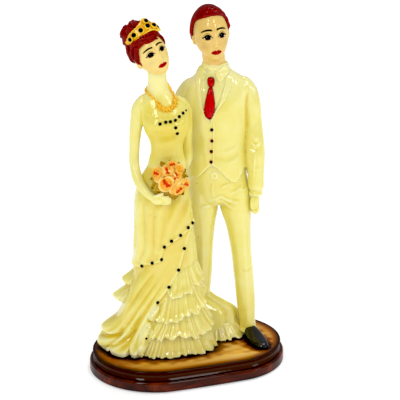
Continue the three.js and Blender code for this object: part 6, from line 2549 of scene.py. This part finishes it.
    def collar(self) -> Object:
        """Builds the shirt collar's standing band.

        Returns:
            The band.
        """
        loft = Loft((
            (COLLAR_Z - 1, 13.7, 13, 7.0, 6.2), (COLLAR_Z + 1.2, 13.7, 12.8, 6.9, 6.2),
            (COLLAR_Z + 3.2, 13.7, 12.5, 6.3, 5.9),
        ))
        turns = np.linspace(0, FULL, 121)
        dip = 1.6 * hump(np.degrees(turns), 262, 34)
        section = ((0, -1.2), (1, -1.2), (1.04, -0.8), (1.05, -0.4), (1.0, 0), (0.85, 0.1), (0.5, 0.1),
                   (0, 0))
        rings = []
        for share, out in section:
            ring = loft.points(COLLAR_Z - 1 + (4.2 - dip) * min(share, 1.0), turns, out)
            rings.append(ring + (0, 0, 6 * max(0, share - 1)))
        stack = np.stack(rings + rings[:1])
        stack[:, -1] = stack[:, 0]
        obj = grid("shirt_collar_band", stack)
        apply_modifier(obj, "SUBSURF", levels=1, render_levels=1)
        return obj

    def build(self, finishes: Finishes) -> None:
        """Builds and dresses the jacket and what lies on it.

        Args:
            finishes: The finishes.
        """
        coat = dress(self.coat(), finishes.ivory, Slot.IVORY, "groom_jacket", "groom_left_sleeve",
                     "groom_right_sleeve")
        self.hands(finishes)
        ivory, ground = finishes.ivory, Ground(coat)
        shirt, _, _ = [self.laid(name, shape, ground, ivory, Slot.IVORY, node) for name, shape, node in (
            ("shirt_panel", Relief(self.shirt, rise=0.3, roll=0.8), "shirt_front"),
            ("lapel_left_roll", Relief(self.lapel_left, rise=0.75, roll=0.6), "lapel_left"),
            ("lapel_right_roll", Relief(self.lapel_right, rise=0.75, roll=0.6), "lapel_right"),
        )]
        band = self.collar()
        on_shirt = Ground(shirt, coat, band)
        wings = [Relief(outline, rise=0.8, roll=0.7, corners=1).build("wing", on_shirt)
                 for outline in (self.wing_left, self.wing_right)]
        collar = polish(join("shirt_collar_wings", [band, *wings]), 6, 1.6, -0.15)
        dress(collar, ivory, Slot.IVORY, "shirt_collar")
        for name, shape, node in (
            ("tie_blade_red", Relief(self.blade, rise=1.5, roll=1.6), "tie_blade"),
            ("tie_knot_red", Relief(self.knot, rise=2.0, roll=1.5), "tie_knot"),
        ):
            tie = self.laid(name, shape, on_shirt, finishes.tie, Slot.TIE, node)
            # Painted shade: darker where the tie turns away from the front, brightest where it faces forward.
            record_value(tie, "crease", 0.4 + 0.36 * step(1 + normals_of(tie)[:, 1], 0.0, 0.7))
        for k, (x, z) in enumerate(self.buttons):
            seat = ground.under((x, 0, z))
            dot = beads(f"coat_button_{k + 1}", [seat], [self.button_radius], sink=0.25, flat=0.75)
            record_value(dot, "crease", 0.5 + 0.4 * np.sin(points_of(dot)[:, 2] * 3))
            dress(shade(dot), finishes.button, Slot.BUTTON, f"jacket_button_{k + 1}")


# The room


@dataclass
class Studio:
    """A pale floor, soft lamps and the camera at the photograph's angle.

    A lamp is its name, azimuth from the camera, elevation and angular size in degrees, and strength. What is
    darker than the black level comes out black.
    """

    azimuth: float = -20.0
    elevation: float = 16.5
    distance: float = 600.0
    lens: float = 110.0
    target: tuple[float, float, float] = (6.8, 0.0, 84.4)
    floor_size: float = 8.0
    black: float = 0.009
    sensor: float = 36.0
    lamps: Sequence[tuple[str, float, float, float, float]] = (
        ("key_softbox_lower", -30, 32, 12, 0.36),
        ("front_softbox_lower", 38, 32, 12, 0.26),
        ("key_softbox_upper", -30, 48, 12, 0.36),
        ("front_softbox_upper", 38, 48, 12, 0.26),
        ("side_softbox", 72, 20, 14, 0.22),
        ("top_softbox", 150, 66, 16, 0.55),
    )

    def way(self, azimuth: float, elevation: float) -> Vector:
        """Returns the direction from the model towards an azimuth and an elevation, degrees."""
        turn, rise = math.radians(azimuth), math.radians(elevation)
        return Vector((math.sin(turn) * math.cos(rise), -math.cos(turn) * math.cos(rise), math.sin(rise)))

    def lamp(self, name: str, azimuth: float, elevation: float, spread: float, strength: float) -> None:
        """Adds a far lamp.

        Args:
            name: Name of the lamp.
            azimuth: Where it stands, degrees.
            elevation: How high it stands, degrees.
            spread: Its angular size, degrees.
            strength: Its strength.
        """
        light = bpy.data.lights.new(name, "SUN")
        light.energy, light.angle = strength, math.radians(spread)
        obj = bpy.data.objects.new(name, light)
        obj.location = self.way(azimuth, elevation)
        obj.rotation_euler = (-obj.location).to_track_quat("-Z", "Y").to_euler()
        bpy.context.collection.objects.link(obj)

    def build(self) -> None:
        """Builds floor, lamps, sky and camera."""
        bpy.ops.object.select_all(action="DESELECT")
        bpy.ops.mesh.primitive_plane_add(size=self.floor_size, location=(0, 0, 0))
        floor = named(bpy.context.object, "floor")
        # Matt white paper that glows a little, so that it comes out white round the soft shadow.
        paper = bpy.data.materials.new("white_paper")
        paper.use_nodes = True
        plug(paper.node_tree.nodes["Principled BSDF"], {
            "Base Color": linear("#F4F4F4"), "Roughness": 0.9,
            "Emission Color": linear("#FFFFFF"), "Emission Strength": 0.42,
        })
        floor.data.materials.append(paper)
        world = bpy.data.worlds.new("studio")
        world.use_nodes = True
        plug(world.node_tree.nodes["Background"], {"Color": linear("#FFFFFF"), "Strength": 0.45})
        bpy.context.scene.world = world
        for name, azimuth, *rest in self.lamps:
            self.lamp(name, self.azimuth + azimuth, *rest)
        back = self.way(self.azimuth, self.elevation)
        lens = bpy.data.cameras.new("camera")
        lens.lens, lens.sensor_width = self.lens, self.sensor
        lens.clip_start, lens.clip_end = 0.01, 50.0
        camera = bpy.data.objects.new("camera", lens)
        camera.location = Vector(self.target) * MM + back * self.distance * MM
        camera.rotation_euler = (-back).to_track_quat("-Z", "Y").to_euler()
        bpy.context.collection.objects.link(camera)
        bpy.context.scene.camera = camera
        view = bpy.context.scene.view_settings
        view.view_transform = "Standard"
        view.use_curve_mapping = True
        view.curve_mapping.black_level = (self.black, self.black, self.black)
        view.curve_mapping.update()


def main() -> None:
    """Builds the topper piece by piece and the studio round it."""
    logging.basicConfig(level=logging.INFO, format="%(message)s")
    bpy.ops.object.select_all(action="DESELECT")
    finishes = Finishes()
    hem = Gown().build(finishes)
    BrideBody().build(finishes)
    BrideHead().build(finishes)
    Bouquet().build(finishes)
    shoe = Trousers().build(finishes)
    Jacket().build(finishes)
    GroomHead().build(finishes)
    Base().build(finishes, np.vstack([hem, shoe]))
    for node, finish in (("felt_pad", finishes.felt), ("skirt_screw_left", finishes.steel),
                         ("skirt_screw_right", finishes.steel), ("leg_screw", finishes.steel)):
        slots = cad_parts[node].data.materials
        slots.clear()
        slots.append(finish)
    Studio().build()


if __name__ == "__main__":
    main()
